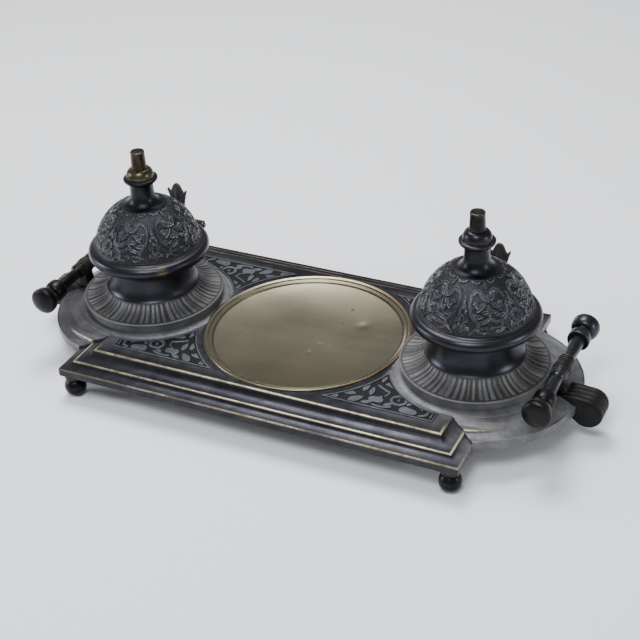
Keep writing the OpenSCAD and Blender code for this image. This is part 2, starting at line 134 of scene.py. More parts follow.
def make_floor():
    mesh = bpy.data.meshes.new("floor")
    mesh.from_pydata([(-4, -4, 0), (4, -4, 0), (4, 4, 0), (-4, 4, 0)], [], [(0, 1, 2, 3)])
    floor = bpy.data.objects.new("floor", mesh)
    bpy.context.scene.collection.objects.link(floor)
    paint = bpy.data.materials.new("pale_floor")
    paint.use_nodes = True
    shader = paint.node_tree.nodes["Principled BSDF"]
    shader.inputs["Base Color"].default_value = (0.93, 0.93, 0.93, 1)
    shader.inputs["Roughness"].default_value = 0.9
    mesh.materials.append(paint)


# ---- Mesh tools ----

def new_object(name, verts, faces, material, values=None):
    """A mesh object from points in millimetres. values are per-point attributes for the materials."""
    mesh = bpy.data.meshes.new(name)
    mesh.from_pydata((np.asarray(verts) * MM).tolist(), [], faces)
    for key, numbers in (values or {}).items():
        layer = mesh.attributes.new(key, "FLOAT", "POINT")
        layer.data.foreach_set("value", np.asarray(numbers, dtype=np.float32).ravel())
    mesh.update()
    tidy = bmesh.new()
    tidy.from_mesh(mesh)
    bmesh.ops.recalc_face_normals(tidy, faces=tidy.faces)
    tidy.to_mesh(mesh)
    tidy.free()
    mesh.shade_smooth()
    mesh.set_sharp_from_angle(angle=math.radians(40))
    mesh.materials.append(material)
    made = bpy.data.objects.new(name, mesh)
    bpy.context.scene.collection.objects.link(made)
    return made


def softened(points, radius=0.3, steps=3, least=24, halo=0.3, band=0.0):
    """Rounds the corners of an outline that runs anticlockwise round the solid.

    Returns (points, wear): wear is 1 on the corners that stick out, which rubbing polishes, and fades
    out over halo on either side. band widens the polish. It is -1 in the corners that go in."""
    out, wear = [points[0]], [0]
    for before, here, after in zip(points, points[1:], points[2:]):
        a, p, b = np.array(before, float), np.array(here, float), np.array(after, float)
        len_a, len_b = np.linalg.norm(a - p), np.linalg.norm(b - p)
        if min(len_a, len_b) < 1e-6:
            continue
        ua, ub = (a - p) / len_a, (b - p) / len_b
        turn = 180 - math.degrees(math.acos(max(-1, min(1, float(ua @ ub)))))
        outward = ua[1] * ub[0] - ua[0] * ub[1] > 0
        if turn < least:
            out.append(tuple(p))
            wear.append(0)
            continue
        reach = min(radius, 0.3 * len_a, 0.3 * len_b)
        sign = 1.0 if outward else -1.0
        edge = 0.5 * sign if band == 0 or not outward else 0.9
        near_a, near_b = (min(reach * 1.3 + band, 0.44 * length) for length in (len_a, len_b))
        far_a, far_b = min(near_a + halo, 0.49 * len_a), min(near_b + halo, 0.49 * len_b)
        out += [tuple(p + ua * far_a), tuple(p + ua * near_a)]
        wear += [0, edge]
        for i in range(steps + 1):
            t = i / steps
            out.append(tuple(arch(p + ua * reach, p, p + ub * reach, t)))
            wear.append(sign)
        out += [tuple(p + ub * near_b), tuple(p + ub * far_b)]
        wear += [edge, 0]
    return out + [points[-1]], wear + [0]


def arch(a, b, c, t):
    """The point at t, from 0 to 1, on the curve from a to c that heads for b at first."""
    return (1 - t) ** 2 * a + 2 * t * (1 - t) * b + t * t * c


def bend(a, b, hollow, steps=10):
    """Quarter of an ellipse from a to b: hollow starts level and ends upright, and the other way if not."""
    turns = [math.pi / 2 * i / steps for i in range(steps + 1)]
    return [(a[0] + (b[0] - a[0]) * (math.sin(t) if hollow else 1 - math.cos(t)),
             a[1] + (b[1] - a[1]) * (1 - math.cos(t) if hollow else math.sin(t))) for t in turns]


def arc(radius, z, low, high, steps=24):
    angles = [math.radians(low + (high - low) * i / steps) for i in range(steps + 1)]
    return [(radius * math.cos(a), z + radius * math.sin(a)) for a in angles]


def quads(rows, columns, ring=True):
    """Faces between neighbouring rows of points. Each row is a ring, or else an open strip."""
    return [(i * columns + k, i * columns + (k + 1) % columns, (i + 1) * columns + (k + 1) % columns,
             (i + 1) * columns + k) for i in range(rows - 1) for k in range(columns if ring else columns - 1)]


def outward_normals(line, closed=True):
    """Unit normals of an outline that runs anticlockwise."""
    ahead, behind = np.roll(line, -1, 0), np.roll(line, 1, 0)
    if not closed:
        ahead[-1], behind[0] = line[-1], line[0]
    slope = ahead - behind
    normal = np.stack([slope[:, 1], -slope[:, 0]], 1)
    return normal / np.maximum(np.linalg.norm(normal, axis=1, keepdims=True), TINY)


def rod(radius, low, high):
    return [(0, low), (radius, low), (radius, high), (0, high)]


def lathe(name, points, material, steps, values, lift=None, drop=0.0):
    """A solid of revolution, from an outline whose two ends are on the axis.

    lift moves the surface outwards and drop moves it down. They and values have a row for each point."""
    line = np.array(points, float)
    normal = outward_normals(line, False)
    angle = np.arange(steps) * 2 * math.pi / steps
    move = np.zeros((len(line), steps)) if lift is None else lift
    r = line[:, :1] + normal[:, :1] * move
    z = line[:, 1:] + normal[:, 1:] * move - drop
    verts = np.stack([r * np.cos(angle), r * np.sin(angle), z], -1).reshape(-1, 3)
    last = (len(line) - 1) * steps
    faces = [(0, steps + (k + 1) % steps, steps + k) for k in range(steps)]
    faces += quads(len(line) - 1, steps)[steps:]
    faces += [(last - steps + k, last - steps + (k + 1) % steps, last) for k in range(steps)]
    # Only one point of the first row and one of the last are kept, for the poles.
    faces = [tuple(max(0, point - steps + 1) for point in face) for face in faces]
    kept = np.r_[0, steps:last + 1]
    spread = {}
    for key, rows in values.items():
        column = np.reshape(np.asarray(rows, float), (len(line), -1))
        spread[key] = np.broadcast_to(column, (len(line), steps)).ravel()[kept]
    return new_object(name, verts[kept], faces, material, spread)


def turned(name, profile, material, place=(0, 0, 0), steps=128, radius=0.3, along=None, rub=1.0, tone=0.0):
    """A lathe-turned piece, moved to place. along turns its axis to +Y or -Y, and rub scales its wear."""
    line, wear = softened(profile, radius)
    values = {"wear": rub * np.array(wear), "tone": np.full(len(line), tone)}
    piece = lathe(name, line, material, steps, values)
    if along is not None:
        piece.data.transform(Matrix(((1, 0, 0, 0), (0, 0, along, 0), (0, -along, 0, 0), (0, 0, 0, 1))))
    return moved(piece, *place)


def moved(piece, x=0.0, y=0.0, z=0.0):
    """Moves a piece's points, so that its own origin stays at the middle of the stand."""
    piece.data.transform(Matrix.Translation(Vector((x, y, z)) * MM))
    return piece


def boolean(target, cutter, operation="DIFFERENCE"):
    """Removes or adds cutter, and deletes it."""
    step = target.modifiers.new("cut", "BOOLEAN")
    step.operation = operation
    step.object = cutter
    step.solver = "EXACT"
    with bpy.context.temp_override(object=target, active_object=target):
        bpy.ops.object.modifier_apply(modifier=step.name)
    bpy.data.objects.remove(cutter)


def joined(name, parts):
    """Makes one object of several."""
    with bpy.context.temp_override(active_object=parts[0], selected_editable_objects=parts):
        bpy.ops.object.join()
    parts[0].name = name
    return parts[0]


def retouch(piece, key, change):
    """Changes a value of a piece's points: change(points in millimetres, old values) gives the new ones."""
    points = np.zeros(len(piece.data.vertices) * 3)
    piece.data.vertices.foreach_get("co", points)
    layer = piece.data.attributes[key].data
    old = np.zeros(len(points) // 3)
    layer.foreach_get("value", old)
    layer.foreach_set("value", change(points.reshape(-1, 3) / MM, old).astype(np.float32))


def stand_for(piece, body, slot, *nodes):
    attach(piece, body)
    if nodes:
        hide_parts(*nodes)


# ---- Materials ----

class Nodes:
    """Short ways to add the nodes of one material."""

    def __init__(self, name):
        self.material = bpy.data.materials.new(name)
        self.material.use_nodes = True
        self.tree = self.material.node_tree
        self.shader = self.tree.nodes["Principled BSDF"]
        self.place = self.tree.nodes.new("ShaderNodeTexCoord").outputs["Object"]

    def fill(self, socket, term):
        """Sets a socket to a number or a colour, or links it to another node's output."""
        if isinstance(term, bpy.types.NodeSocket):
            self.tree.links.new(term, socket)
        elif socket.type == "RGBA":
            socket.default_value = tuple(term) + (1,)
        else:
            socket.default_value = term

    def add(self, kind, **terms):
        """A new node with its inputs filled. A name with _ in it stands for the socket's name with spaces."""
        node = self.tree.nodes.new("ShaderNode" + kind)
        for key, term in terms.items():
            self.fill(node.inputs[key.replace("_", " ")], term)
        return node

    def noise(self, scale, detail=4, rough=0.6, stretch=(1, 1, 1)):
        place = self.place
        if stretch != (1, 1, 1):
            place = self.add("Mapping", Vector=place, Scale=stretch).outputs["Vector"]
        return self.add("TexNoise", Vector=place, Scale=scale, Detail=detail, Roughness=rough).outputs["Fac"]

    def spots(self, scale, size):
        """1 inside small scattered round spots, 0 outside."""
        node = self.add("TexVoronoi", Vector=self.place, Scale=scale)
        return self.ramp(node.outputs["Distance"], size, size * 0.4)

    def value(self, key):
        node = self.add("Attribute")
        node.attribute_name = key
        return node.outputs["Fac"]

    def ramp(self, source, low, high, out_low=0.0, out_high=1.0):
        node = self.add("MapRange")
        node.interpolation_type = "SMOOTHSTEP"
        for key, term in zip(("Value", "From Min", "From Max", "To Min", "To Max"),
                             (source, low, high, out_low, out_high)):
            self.fill(node.inputs[key], term)
        return node.outputs["Result"]

    def maths(self, operation, a, b):
        node = self.add("Math")
        node.operation = operation
        self.fill(node.inputs[0], a)
        self.fill(node.inputs[1], b)
        return node.outputs["Value"]

    def times(self, a, b):
        return self.maths("MULTIPLY", a, b)

    def mix(self, factor, a, b):
        node = self.add("Mix")
        node.data_type = "RGBA"
        sockets = {s.identifier: s for s in node.inputs}
        for key, term in (("Factor_Float", factor), ("A_Color", a), ("B_Color", b)):
            self.fill(sockets[key], term)
        return {s.identifier: s for s in node.outputs}["Result_Color"]

    def bump(self, source, depth, strength=1.0):
        node = self.add("Bump", Height=source, Distance=depth, Strength=strength)
        self.fill(self.shader.inputs["Normal"], node.outputs["Normal"])

    def finish(self, colour, roughness, metallic):
        for key, term in (("Base Color", colour), ("Roughness", roughness), ("Metallic", metallic)):
            self.fill(self.shader.inputs[key], term)
        return self.material


BROWN = (0.11, 0.088, 0.06)
BRASS = (0.50, 0.44, 0.30)


def rubbed_through(n, body, amount):
    """body, worn to brown and then to brass where the wear attribute is high."""
    patch = n.ramp(n.noise(36, 3, 0.5), 0.36, 0.60, 0.62, 1.0)
    scuff = n.ramp(n.noise(420, 3, 0.6), 0.3, 0.6, 0.7, 1.0)
    worn = n.times(n.times(n.maths("MAXIMUM", n.value("wear"), 0.0), patch), scuff)
    worn = n.times(worn, amount)
    colour = n.mix(n.ramp(worn, 0.02, 0.45), body, BROWN)
    return n.mix(n.ramp(worn, 0.3, 0.9), colour, BRASS)


def bronze(name, dark=(0.008, 0.008, 0.009), pale=(0.022, 0.0215, 0.023), rough=(0.30, 0.42), wear=0.5,
           grain=0.6, matte=(0.175, 0.175, 0.184), metal=0.85):
    """Blue-black patinated bronze. Where the tone attribute is high it is matte, in the matte colour."""
    n = Nodes(name)
    fine = n.noise(900, 4, 0.7)
    cloud = n.times(n.ramp(n.noise(80, 5, 0.7), 0.3, 0.75), n.ramp(fine, 0.35, 0.65, 0.35, 1.0))
    body = n.mix(cloud, dark, pale)
    stain = n.ramp(n.noise(30, 5, 0.7), 0.45, 0.75)
    body = n.mix(n.times(stain, 0.5), body, (1.5 * dark[0] + 0.012, 1.2 * dark[1] + 0.009, dark[2] + 0.003))
    dull = n.mix(n.ramp(n.noise(140, 6, 0.75), 0.32, 0.7), tuple(0.55 * c for c in matte), matte)
    dull = n.mix(n.times(stain, 0.6), dull, (0.105, 0.092, 0.072))
    body = n.mix(n.value("tone"), body, dull)
    hollow = n.ramp(n.value("wear"), -0.1, -0.9)
    colour = n.mix(n.times(hollow, 0.15), body, (0.007, 0.007, 0.008))
    colour = rubbed_through(n, colour, wear)
    gloss = n.ramp(n.noise(180, 4, 0.6), 0.3, 0.7, rough[0], rough[1])
    roughness = n.maths("ADD", gloss, n.times(n.value("tone"), 0.12))
    n.bump(fine, 0.00008, grain)
    return n.finish(colour, roughness, n.maths("SUBTRACT", metal, n.times(n.value("tone"), 0.4)))


def relief_bronze(name, ground, ridge, painted_glint, rough, plain, wear=0.6, metal=0.8):
    """Bronze whose raised ornament is paler than its ground, by the tone attribute.

    Where the plain attribute is 1 it is smooth and glossy, in the plain colour."""
    n = Nodes(name)
    fine = n.noise(700, 5, 0.75)
    height = n.ramp(n.value("tone"), 0.15, 0.9)
    low = n.mix(n.ramp(fine, 0.35, 0.7), ground, tuple(2.0 * c for c in ground))
    # The ornament is mottled towards the glint colour: these paler patches are painted glints.
    high = n.mix(n.ramp(n.noise(70, 4, 0.6), 0.35, 0.7), ridge, painted_glint)
    smooth = n.value("plain")
    glossy = n.mix(n.ramp(n.noise(50, 4, 0.6), 0.35, 0.7), plain, tuple(1.5 * c for c in plain))
    colour = n.mix(smooth, n.mix(height, low, high), glossy)
    colour = rubbed_through(n, colour, wear)
    coarse = n.mix(height, (rough[1],) * 3, (rough[0],) * 3)
    roughness = n.mix(smooth, coarse, (0.33, 0.33, 0.33))
    n.bump(n.times(fine, n.maths("SUBTRACT", 1.1, smooth)), 0.0003, 0.8)
    return n.finish(colour, roughness, n.ramp(smooth, 0.0, 1.0, metal, 0.9))


def aged_brass(name):
    """Satin yellow brass with a grey-olive cast, brown clouds, turning marks and black specks."""
    n = Nodes(name)
    cloud = n.ramp(n.noise(9, 1, 0.4), 0.3, 0.7)
    streak = n.noise(26, 2, 0.5, (0.4, 2.2, 1))
    colour = n.mix(cloud, (0.25, 0.23, 0.163), (0.185, 0.158, 0.098))
    colour = n.mix(n.ramp(streak, 0.4, 0.75, 0.0, 0.4), colour, (0.15, 0.13, 0.085))
    colour = n.mix(n.ramp(n.noise(420, 3, 0.6), 0.45, 0.8, 0.0, 0.25), colour, (0.12, 0.105, 0.07))
    speck = n.times(n.spots(85, 0.13), n.ramp(n.noise(30, 1, 0.5), 0.58, 0.70))
    colour = n.mix(n.times(speck, 0.8), colour, (0.04, 0.04, 0.035))
    hollow = n.ramp(n.value("wear"), -0.3, -1.0)
    colour = n.mix(n.times(hollow, 0.75), colour, (0.06, 0.045, 0.03))
    colour = n.mix(n.times(n.value("tone"), 0.8), colour, (0.30, 0.17, 0.075))
    roughness = n.ramp(n.noise(25, 1, 0.4), 0.3, 0.75, 0.26, 0.32)
    n.bump(n.noise(120, 1, 0.4), 0.00003, 0.2)
    return n.finish(colour, roughness, 0.95)


def rubbed_brass(name, dark, pale):
    """Brown brass, patchily blackened. Where the tone attribute is high it is all black."""
    n = Nodes(name)
    fine = n.noise(800, 4, 0.7)
    colour = n.mix(n.ramp(n.noise(130, 4, 0.6), 0.35, 0.65), dark, pale)
    worn = n.times(n.ramp(n.value("wear"), 0.2, 1.0), 0.5)
    colour = n.mix(n.value("tone"), n.mix(worn, colour, BRASS), (0.014, 0.014, 0.017))
    n.bump(fine, 0.00008, 0.6)
    return n.finish(colour, n.ramp(n.noise(300), 0.3, 0.7, 0.26, 0.4), 0.92)


def plain_steel(name):
    n = Nodes(name)
    colour = n.mix(n.ramp(n.noise(200), 0.35, 0.7), (0.32, 0.32, 0.32), (0.16, 0.14, 0.12))
    n.bump(n.noise(900), 0.00005, 0.5)
    return n.finish(colour, n.ramp(n.noise(300), 0.3, 0.7, 0.35, 0.5), 1.0)


def glazed_pot(name):
    """Cream glaze, with an old ink stain low inside the cup."""
    n = Nodes(name)
    split = n.add("SeparateXYZ", Vector=n.place)
    level = n.maths("ADD", split.outputs["Z"], n.times(n.noise(60), 0.004))
    stain = n.times(n.ramp(level, 0.043, 0.037), n.value("inside"))
    colour = n.mix(n.ramp(n.noise(45), 0.35, 0.7), (0.74, 0.70, 0.60), (0.66, 0.61, 0.50))
    colour = n.mix(n.times(stain, 0.92), colour, (0.012, 0.013, 0.03))
    n.bump(n.noise(120, 3), 0.0001, 0.4)
    n.shader.inputs["Coat Weight"].default_value = 0.4
    n.shader.inputs["Coat Roughness"].default_value = 0.06
    return n.finish(colour, 0.22, 0.0)


PAINT = {
    "dark": bronze("dark_bronze"),
    "bar": bronze("handled_bronze", (0.013, 0.013, 0.015), (0.038, 0.039, 0.045), (0.27, 0.38)),
    "shaft": bronze("polished_bronze", (0.022, 0.024, 0.029), (0.060, 0.064, 0.076), (0.27, 0.38)),
    "neck": bronze("neck_bronze", (0.008, 0.0085, 0.0105), (0.027, 0.028, 0.035), (0.31, 0.41)),
    "rough": bronze("cast_bronze", (0.011, 0.011, 0.011),
                    (0.026, 0.025, 0.024), (0.45, 0.60), 0.15, 1.2, metal=0.8),
    "crest": bronze("sooty_bronze", (0.030, 0.030, 0.030), (0.062, 0.061, 0.060), (0.5, 0.65), 0.1, 1.4,
                    metal=0.2),
    "plate": bronze("plate_bronze", (0.015, 0.015, 0.020), (0.040, 0.042, 0.052), (0.28, 0.38), 1.0,
                    metal=0.85),
    "hidden": bronze("shaded_bronze", (0.012, 0.012, 0.014), (0.03, 0.03, 0.034), (0.5, 0.65), 0.0),
    "dome": relief_bronze("engraved_bronze", (0.022, 0.022, 0.025), (0.062, 0.062, 0.069),
                          (0.14, 0.139, 0.148), (0.26, 0.40), (0.026, 0.026, 0.031)),
    "fluted": relief_bronze("fluted_bronze", (0.034, 0.032, 0.031), (0.12, 0.12, 0.122), (0.19, 0.187, 0.18),
                            (0.48, 0.58), (0.026, 0.026, 0.031), metal=0.4),
    "strapwork": relief_bronze("strapwork_bronze", (0.006, 0.006, 0.007), (0.068, 0.070, 0.080),
                               (0.105, 0.107, 0.117), (0.42, 0.5), (0.02, 0.02, 0.02), metal=0.75),
    "dish": aged_brass("aged_brass"),
    "peg_left": rubbed_brass("brown_brass", (0.014, 0.011, 0.007), (0.040, 0.030, 0.019)),
    "peg_right": rubbed_brass("blackened_brass", (0.011, 0.011, 0.011), (0.035, 0.030, 0.024)),
    "knob_left": rubbed_brass("browned_bronze", (0.023, 0.019, 0.013), (0.09, 0.073, 0.047)),
    "pin": rubbed_brass("pin_brass", (0.02, 0.018, 0.016), (0.06, 0.05, 0.04)),
    "steel": plain_steel("plain_steel"),
    "pot": glazed_pot("glazed_pot"),
}


# ---- Ornament: strokes on a flat pattern, turned into heights ----

def spiral(centre, radius, start, turns, width, direction=1, close=0.28, steps=44):
    """A scroll that winds in round centre: (points, half widths)."""
    t = np.linspace(0, 1, steps)
    angle = math.radians(start) + direction * 2 * math.pi * turns * t
    r = radius * (1 - (1 - close) * t ** 0.85)
    points = np.stack([centre[0] + r * np.cos(angle), centre[1] + r * np.sin(angle)], 1)
    half = width * (0.45 + 0.55 * np.sin(math.pi * np.minimum(1, 0.15 + t)))
    half[-6:] = width * np.linspace(0.9, 1.5, 6)
    return points, half


def leaf(root, heading, length, width, curl=0.0, steps=18):
    """A pointed leaf that bends by curl degrees from root to tip."""
    t = np.linspace(0, 1, steps)
    angle = math.radians(heading) + math.radians(curl) * t
    step = length / (steps - 1)
    points = np.array(root, float) + np.cumsum(np.stack([np.cos(angle), np.sin(angle)], 1) * step, 0)
    return points, width * np.sin(math.pi * t ** 0.75) + 0.05


def stem(points, width, steps=26):
    """A smooth line through three or four points."""
    p = np.array(points, float)
    t = np.linspace(0, 1, steps)[:, None]
    if len(p) == 3:
        line = arch(p[0], p[1], p[2], t)
    else:
        line = (1 - t) * arch(p[0], p[1], p[2], t) + t * arch(p[1], p[2], p[3], t)
    return line, np.full(steps, width, float)


def depth_inside(x, y, strokes):
    """How far inside the nearest stroke each point is: positive inside, negative outside."""
    best = np.full(x.shape, -1e3)
    for points, half in strokes:
        low = points.min(0) - half.max() - 3
        high = points.max(0) + half.max() + 3
        near = (x > low[0]) & (x < high[0]) & (y > low[1]) & (y < high[1])
        px, py = x[near], y[near]
        inside = best[near]
        for a, b, ra, rb in zip(points[:-1], points[1:], half[:-1], half[1:]):
            d = b - a
            t = np.clip(((px - a[0]) * d[0] + (py - a[1]) * d[1]) / max(float(d @ d), TINY), 0, 1)
            away = np.hypot(px - a[0] - d[0] * t, py - a[1] - d[1] * t)
            inside = np.maximum(inside, ra + (rb - ra) * t - away)
        best[near] = inside
    return best


def smoothstep(low, high, value):
    t = np.clip((value - low) / (high - low), 0, 1)
    return t * t * (3 - 2 * t)


def mirrored_strokes(strokes):
    return strokes + [(points * np.array([-1, 1]), half) for points, half in strokes]


# ---- Plate ----

LEDGE_INSET = 6.5
TOP_INSET = 15.7
LOBE_TOP_INSET = 14.5
LOBE_LIFT = 2.0
SEAT_R = 47


def lobe_inset(inset):
    """The lobes' upper cove is a little narrower than the straight sides' one."""
    start = LEDGE_INSET + 2
    if inset <= start:
        return inset
    return start + (inset - start) * (LOBE_TOP_INSET - start) / (TOP_INSET - start)


ARC_STEPS = 44


def plate_outline(inset, on_lobe=None):
    """The plate's outline, inset from its edge: a rectangle with a round lobe at each end."""
    x, y = HALF_LEN - inset, HALF_DEP - inset
    r = LOBE_R - (lobe_inset(inset) if on_lobe is None else on_lobe)
    meet = math.sqrt(r * r - (x - WELL_X) ** 2)
    low = math.atan2(-meet, x - WELL_X)
    turns = [low * (1 - i / ARC_STEPS) for i in range(ARC_STEPS + 1)]
    quarter = [(0, -y), (x * 0.5, -y), (x, -y), (x, -meet - 0.02)]
    quarter += [(WELL_X + r * math.cos(turn), r * math.sin(turn)) for turn in turns]
    return mirrored_ring(quarter, lambda p: (p[0], -p[1]), lambda p: (-p[0], p[1]))


def mirrored_ring(quarter, to_back, to_left):
    """Completes a ring of values from its front right quarter, which ends on the long axis."""
    right = quarter + [to_back(item) for item in quarter[-2::-1]]
    return right + [to_left(item) for item in right[-2:0:-1]]


def on_lobes(fade_steps=0, ends=(0.0, 0.0)):
    """1 for the outline points on the lobes, rising over their first few steps, and 0 on the straight sides.

    ends holds the values at a corner of the rectangle and where its end meets the lobe."""
    quarter = list(ends) + [min(1.0, i / fade_steps) if fade_steps else 1.0 for i in range(ARC_STEPS + 1)]
    return np.array(mirrored_ring([0.0, 0.0] + quarter, float, float))


def stack(name, rows, material, tone=None, rub=None, lift=None):
    """A closed solid from outlines of equal length: rows of (outline, height, wear), from the bottom up.

    tone, rub and lift have a value for each point of an outline. lift fades out near the top."""
    count = len(rows[0][0])
    verts = np.array([(x, y, h) for line, z, _ in rows for (x, y), h in zip(line, np.broadcast_to(z, count))])
    faces = [tuple(range(count))[::-1], tuple(range((len(rows) - 1) * count, len(rows) * count))]
    faces += quads(len(rows), count)
    wear = np.repeat([w for _, _, w in rows], count)
    values = {"wear": wear, "tone": np.zeros(len(wear))}
    if tone is not None:
        values = {"wear": wear * np.tile(rub, len(rows)), "tone": np.tile(tone, len(rows))}
        high = verts[:, 2].max()
        share = np.minimum(1, (high - verts[:, 2]) / 2.6)
        verts[:, 2] += np.tile(lift, len(rows)) * share
    return new_object(name, verts, faces, material, values)


def moulding_rows():
    """The plate's edge: skirt, low cove, ledge and high cove, as rows for stack()."""
    skirt, ledge = PLATE_BOTTOM + 5, PLATE_BOTTOM + 7.75
    line = [(0, PLATE_BOTTOM), (0, skirt)]
    line += bend((0, skirt), (0.6 - LEDGE_INSET, ledge - 1.3), True)[1:]
    line += [(-LEDGE_INSET, ledge), (-LEDGE_INSET - 2, ledge)]
    line += bend((-LEDGE_INSET - 2, ledge), (0.6 - TOP_INSET, PLATE_TOP - 1.3), True)[1:]
    line += [(-TOP_INSET, PLATE_TOP), (-TOP_INSET - 3, PLATE_TOP)]
    points, wear = softened(line, 0.8, 5, halo=0.5, band=0.5)
    # The skirt's edge and the topmost one are less rubbed than the others.
    wear = [w * (0.62 if z < skirt + 1 else 0.88 if z > PLATE_TOP - 2 else 1)
            for w, (_, z) in zip(wear, points)]
    melt = smoothstep(0.1, 1, on_lobes(15))
    rows = []
    for (x, z), (slope_x, slope_z), w in zip(points, run_out(points), wear):
        stepped, sloped = np.array(plate_outline(-x)), np.array(plate_outline(-slope_x))
        rows.append((stepped * (1 - melt[:, None]) + sloped * melt[:, None], z + (slope_z - z) * melt, w))
    return rows


def run_out(points):
    """The edge's profile where its steps have run out into one slope, above the skirt."""
    line = np.array(points)
    first = int(np.argmax(line[:, 0] < -0.9))
    last = int(np.argmax(line[:, 0] < -TOP_INSET - 0.9))
    far = np.concatenate([[0], np.cumsum(np.linalg.norm(np.diff(line, axis=0), axis=1))])
    t = np.clip((far - far[first]) / (far[last] - far[first]), 0, 1)[:, None]
    shoulder = np.array([-7.5, PLATE_TOP - 2.6])
    bent = arch(line[first], shoulder, line[last], t)
    inside = (np.arange(len(line)) >= first) & (np.arange(len(line)) <= last)
    return np.where(inside[:, None], bent, line)


def make_plate():
    pan_r, pan_floor, dish_clear, above = 58.7, DISH_LOW[2], DISH_R + 0.25, 40
    front = np.array([1.0 if y < 0 else 0.6 for _, y in plate_outline(0)])
    plate = stack("plate_casting", moulding_rows(), PAINT["plate"], on_lobes(0, (0.1, 0.9)),
                  front * (1 - 0.9 * on_lobes(11)), LOBE_LIFT * on_lobes())
    seat = rod(SEAT_R, PLATE_TOP - 4, PLATE_TOP + 0.02)[:3] + [(44.6, SEAT_Z), (0, SEAT_Z)]
    for side in SIDES.values():
        place = (side * WELL_X, 0, 0)
        boolean(plate, turned("seat", seat, PAINT["plate"], place, 180, rub=0, tone=1), "UNION")
    sill = PLATE_TOP - 0.03
    pan = rod(pan_r, pan_floor, sill)[:3] + [(dish_clear, sill), (dish_clear, above), (0, above)]
    boolean(plate, turned("pan", pan, PAINT["hidden"], steps=180, radius=0.01))
    low, high = (stack("hollow", [(outline, 5, 0), (outline, roof, 0)], PAINT["hidden"]) for outline, roof in
                 ((plate_outline(4.5), PLATE_BOTTOM + 2.5), (plate_outline(17, 16), PLATE_BOTTOM + 8.5)))
    for x in (-FOOT_X, FOOT_X):
        for y in (-FOOT_Y, FOOT_Y):
            boolean(low, turned("boss", rod(6.2, 0, above), PAINT["hidden"], (x, y, 0), 48, 0.01))
    boolean(high, turned("core", rod(pan_r + 6, 0, above), PAINT["hidden"], radius=0.01))
    boolean(plate, low)
    boolean(plate, high)
    plate.data.set_sharp_from_angle(angle=math.radians(32))
    # The seats are as matte as the lobes, and the left lobe is a little less so.
    retouch(plate, "tone", lambda p, old: np.where(np.hypot(np.abs(p[:, 0]) - WELL_X, p[:, 1]) < SEAT_R + 0.2,
                                                   1, old))
    retouch(plate, "tone", lambda p, old: old * (1 - 0.45 * smoothstep(80, 120, -p[:, 0])))
    stand_for(plate, "stand", "grey_bronze", "stand_base")


# The four corner panels fill the space between the dish, a well's seat and the plate's edge.
PANEL_FRONT = HALF_DEP - TOP_INSET - 7.8
PANEL_END = HALF_LEN - TOP_INSET - 7.8
PANEL_DISH_R = DISH_R + 4.0
PANEL_SEAT_R = SEAT_R + 1.2


def taper(a, b, half_a, half_b):
    """A straight mass that widens or narrows from a to b."""
    return np.array([a, b], float), np.array([half_a, half_b], float)


def oval(centre, radius_x, radius_y, half, steps=40):
    angle = np.linspace(0, 2 * math.pi, steps)
    points = np.stack([centre[0] + radius_x * np.cos(angle), centre[1] + radius_y * np.sin(angle)], 1)
    return points, np.full(steps, half, float)


def panel_strokes():
    """Broad leaves and bands for one panel. x runs along the plate, y in from the panel's front edge."""
    return [
        taper((36, 1.4), (42, 3.2), 0.3, 2.4),
        leaf((43, 9.6), -8, 9.5, 2.3, 10), leaf((50.5, 1.4), 48, 9.5, 2.4, -12),
        leaf((55, 12.5), 75, 9, 1.7, 20), leaf((60.5, 10.5), 98, 8, 1.7, -10),
        leaf((57.5, 3), 12, 7, 1.5, 25),
        taper((63, 8), (67, 8), 2.5, 2.5), taper((65.5, 8.5), (67.5, 12), 2.2, 0.3),
        stem([(61.5, 21), (65, 18.6), (69, 17)], 0.75), stem([(68.6, 12.5), (69.8, 14.6), (69.8, 17)], 0.6),
        stem([(65, 3.2), (70, 1.6), (75, 4.4)], 0.8), leaf((70.5, 4.6), 25, 6.2, 1.4, 30),
        oval((77.3, 11.5), 4.2, 3.9, 1.0), taper((77.3, 11.2), (77.3, 11.9), 0.9, 0.9),
        taper((83, 4.6), (88.5, 4.0), 2.9, 2.3), leaf((83.0, 8.5), 70, 5.0, 1.2, -40),
        stem([(92.6, 2.6), (97.5, 3.4), (96, 8.6)], 0.9), taper((99.0, 3.0), (99.2, 6.2), 0.6, 0.9),
        stem([(66, 23.5), (76, 21.5), (84, 13.5)], 1.5), stem([(85, 11.5), (89, 10.6), (92.6, 8.4)], 0.9),
        leaf((62.3, 23.5), 92, 10.5, 1.5, 0),
    ]


def panel_heights(columns=380, rows=150):
    """Plan points of one panel, and the height (0 to 1) of its ornament at each."""
    tip = math.sqrt(PANEL_DISH_R ** 2 - PANEL_FRONT ** 2) + 1.5
    x = np.linspace(tip, PANEL_END, columns)
    back = np.maximum(np.sqrt(np.maximum(PANEL_DISH_R ** 2 - x ** 2, 0)),
                      np.sqrt(np.maximum(PANEL_SEAT_R ** 2 - (x - WELL_X) ** 2, 0)))
    depth = PANEL_FRONT - back
    across = np.linspace(0, 1, rows)[:, None]
    y = across * depth
    x = np.broadcast_to(x, y.shape)
    plate_y = PANEL_FRONT - y
    edge = np.minimum.reduce([y, PANEL_END - x, np.hypot(x, plate_y) - PANEL_DISH_R,
                              np.hypot(x - WELL_X, plate_y) - PANEL_SEAT_R])
    border = 0.55 - np.abs(edge - 0.6)
    ornament = np.minimum(depth_inside(x, y, panel_strokes()), edge - 1.7)
    inside = np.maximum(border, ornament)
    return x, plate_y, smoothstep(-0.15, 0.25, inside)


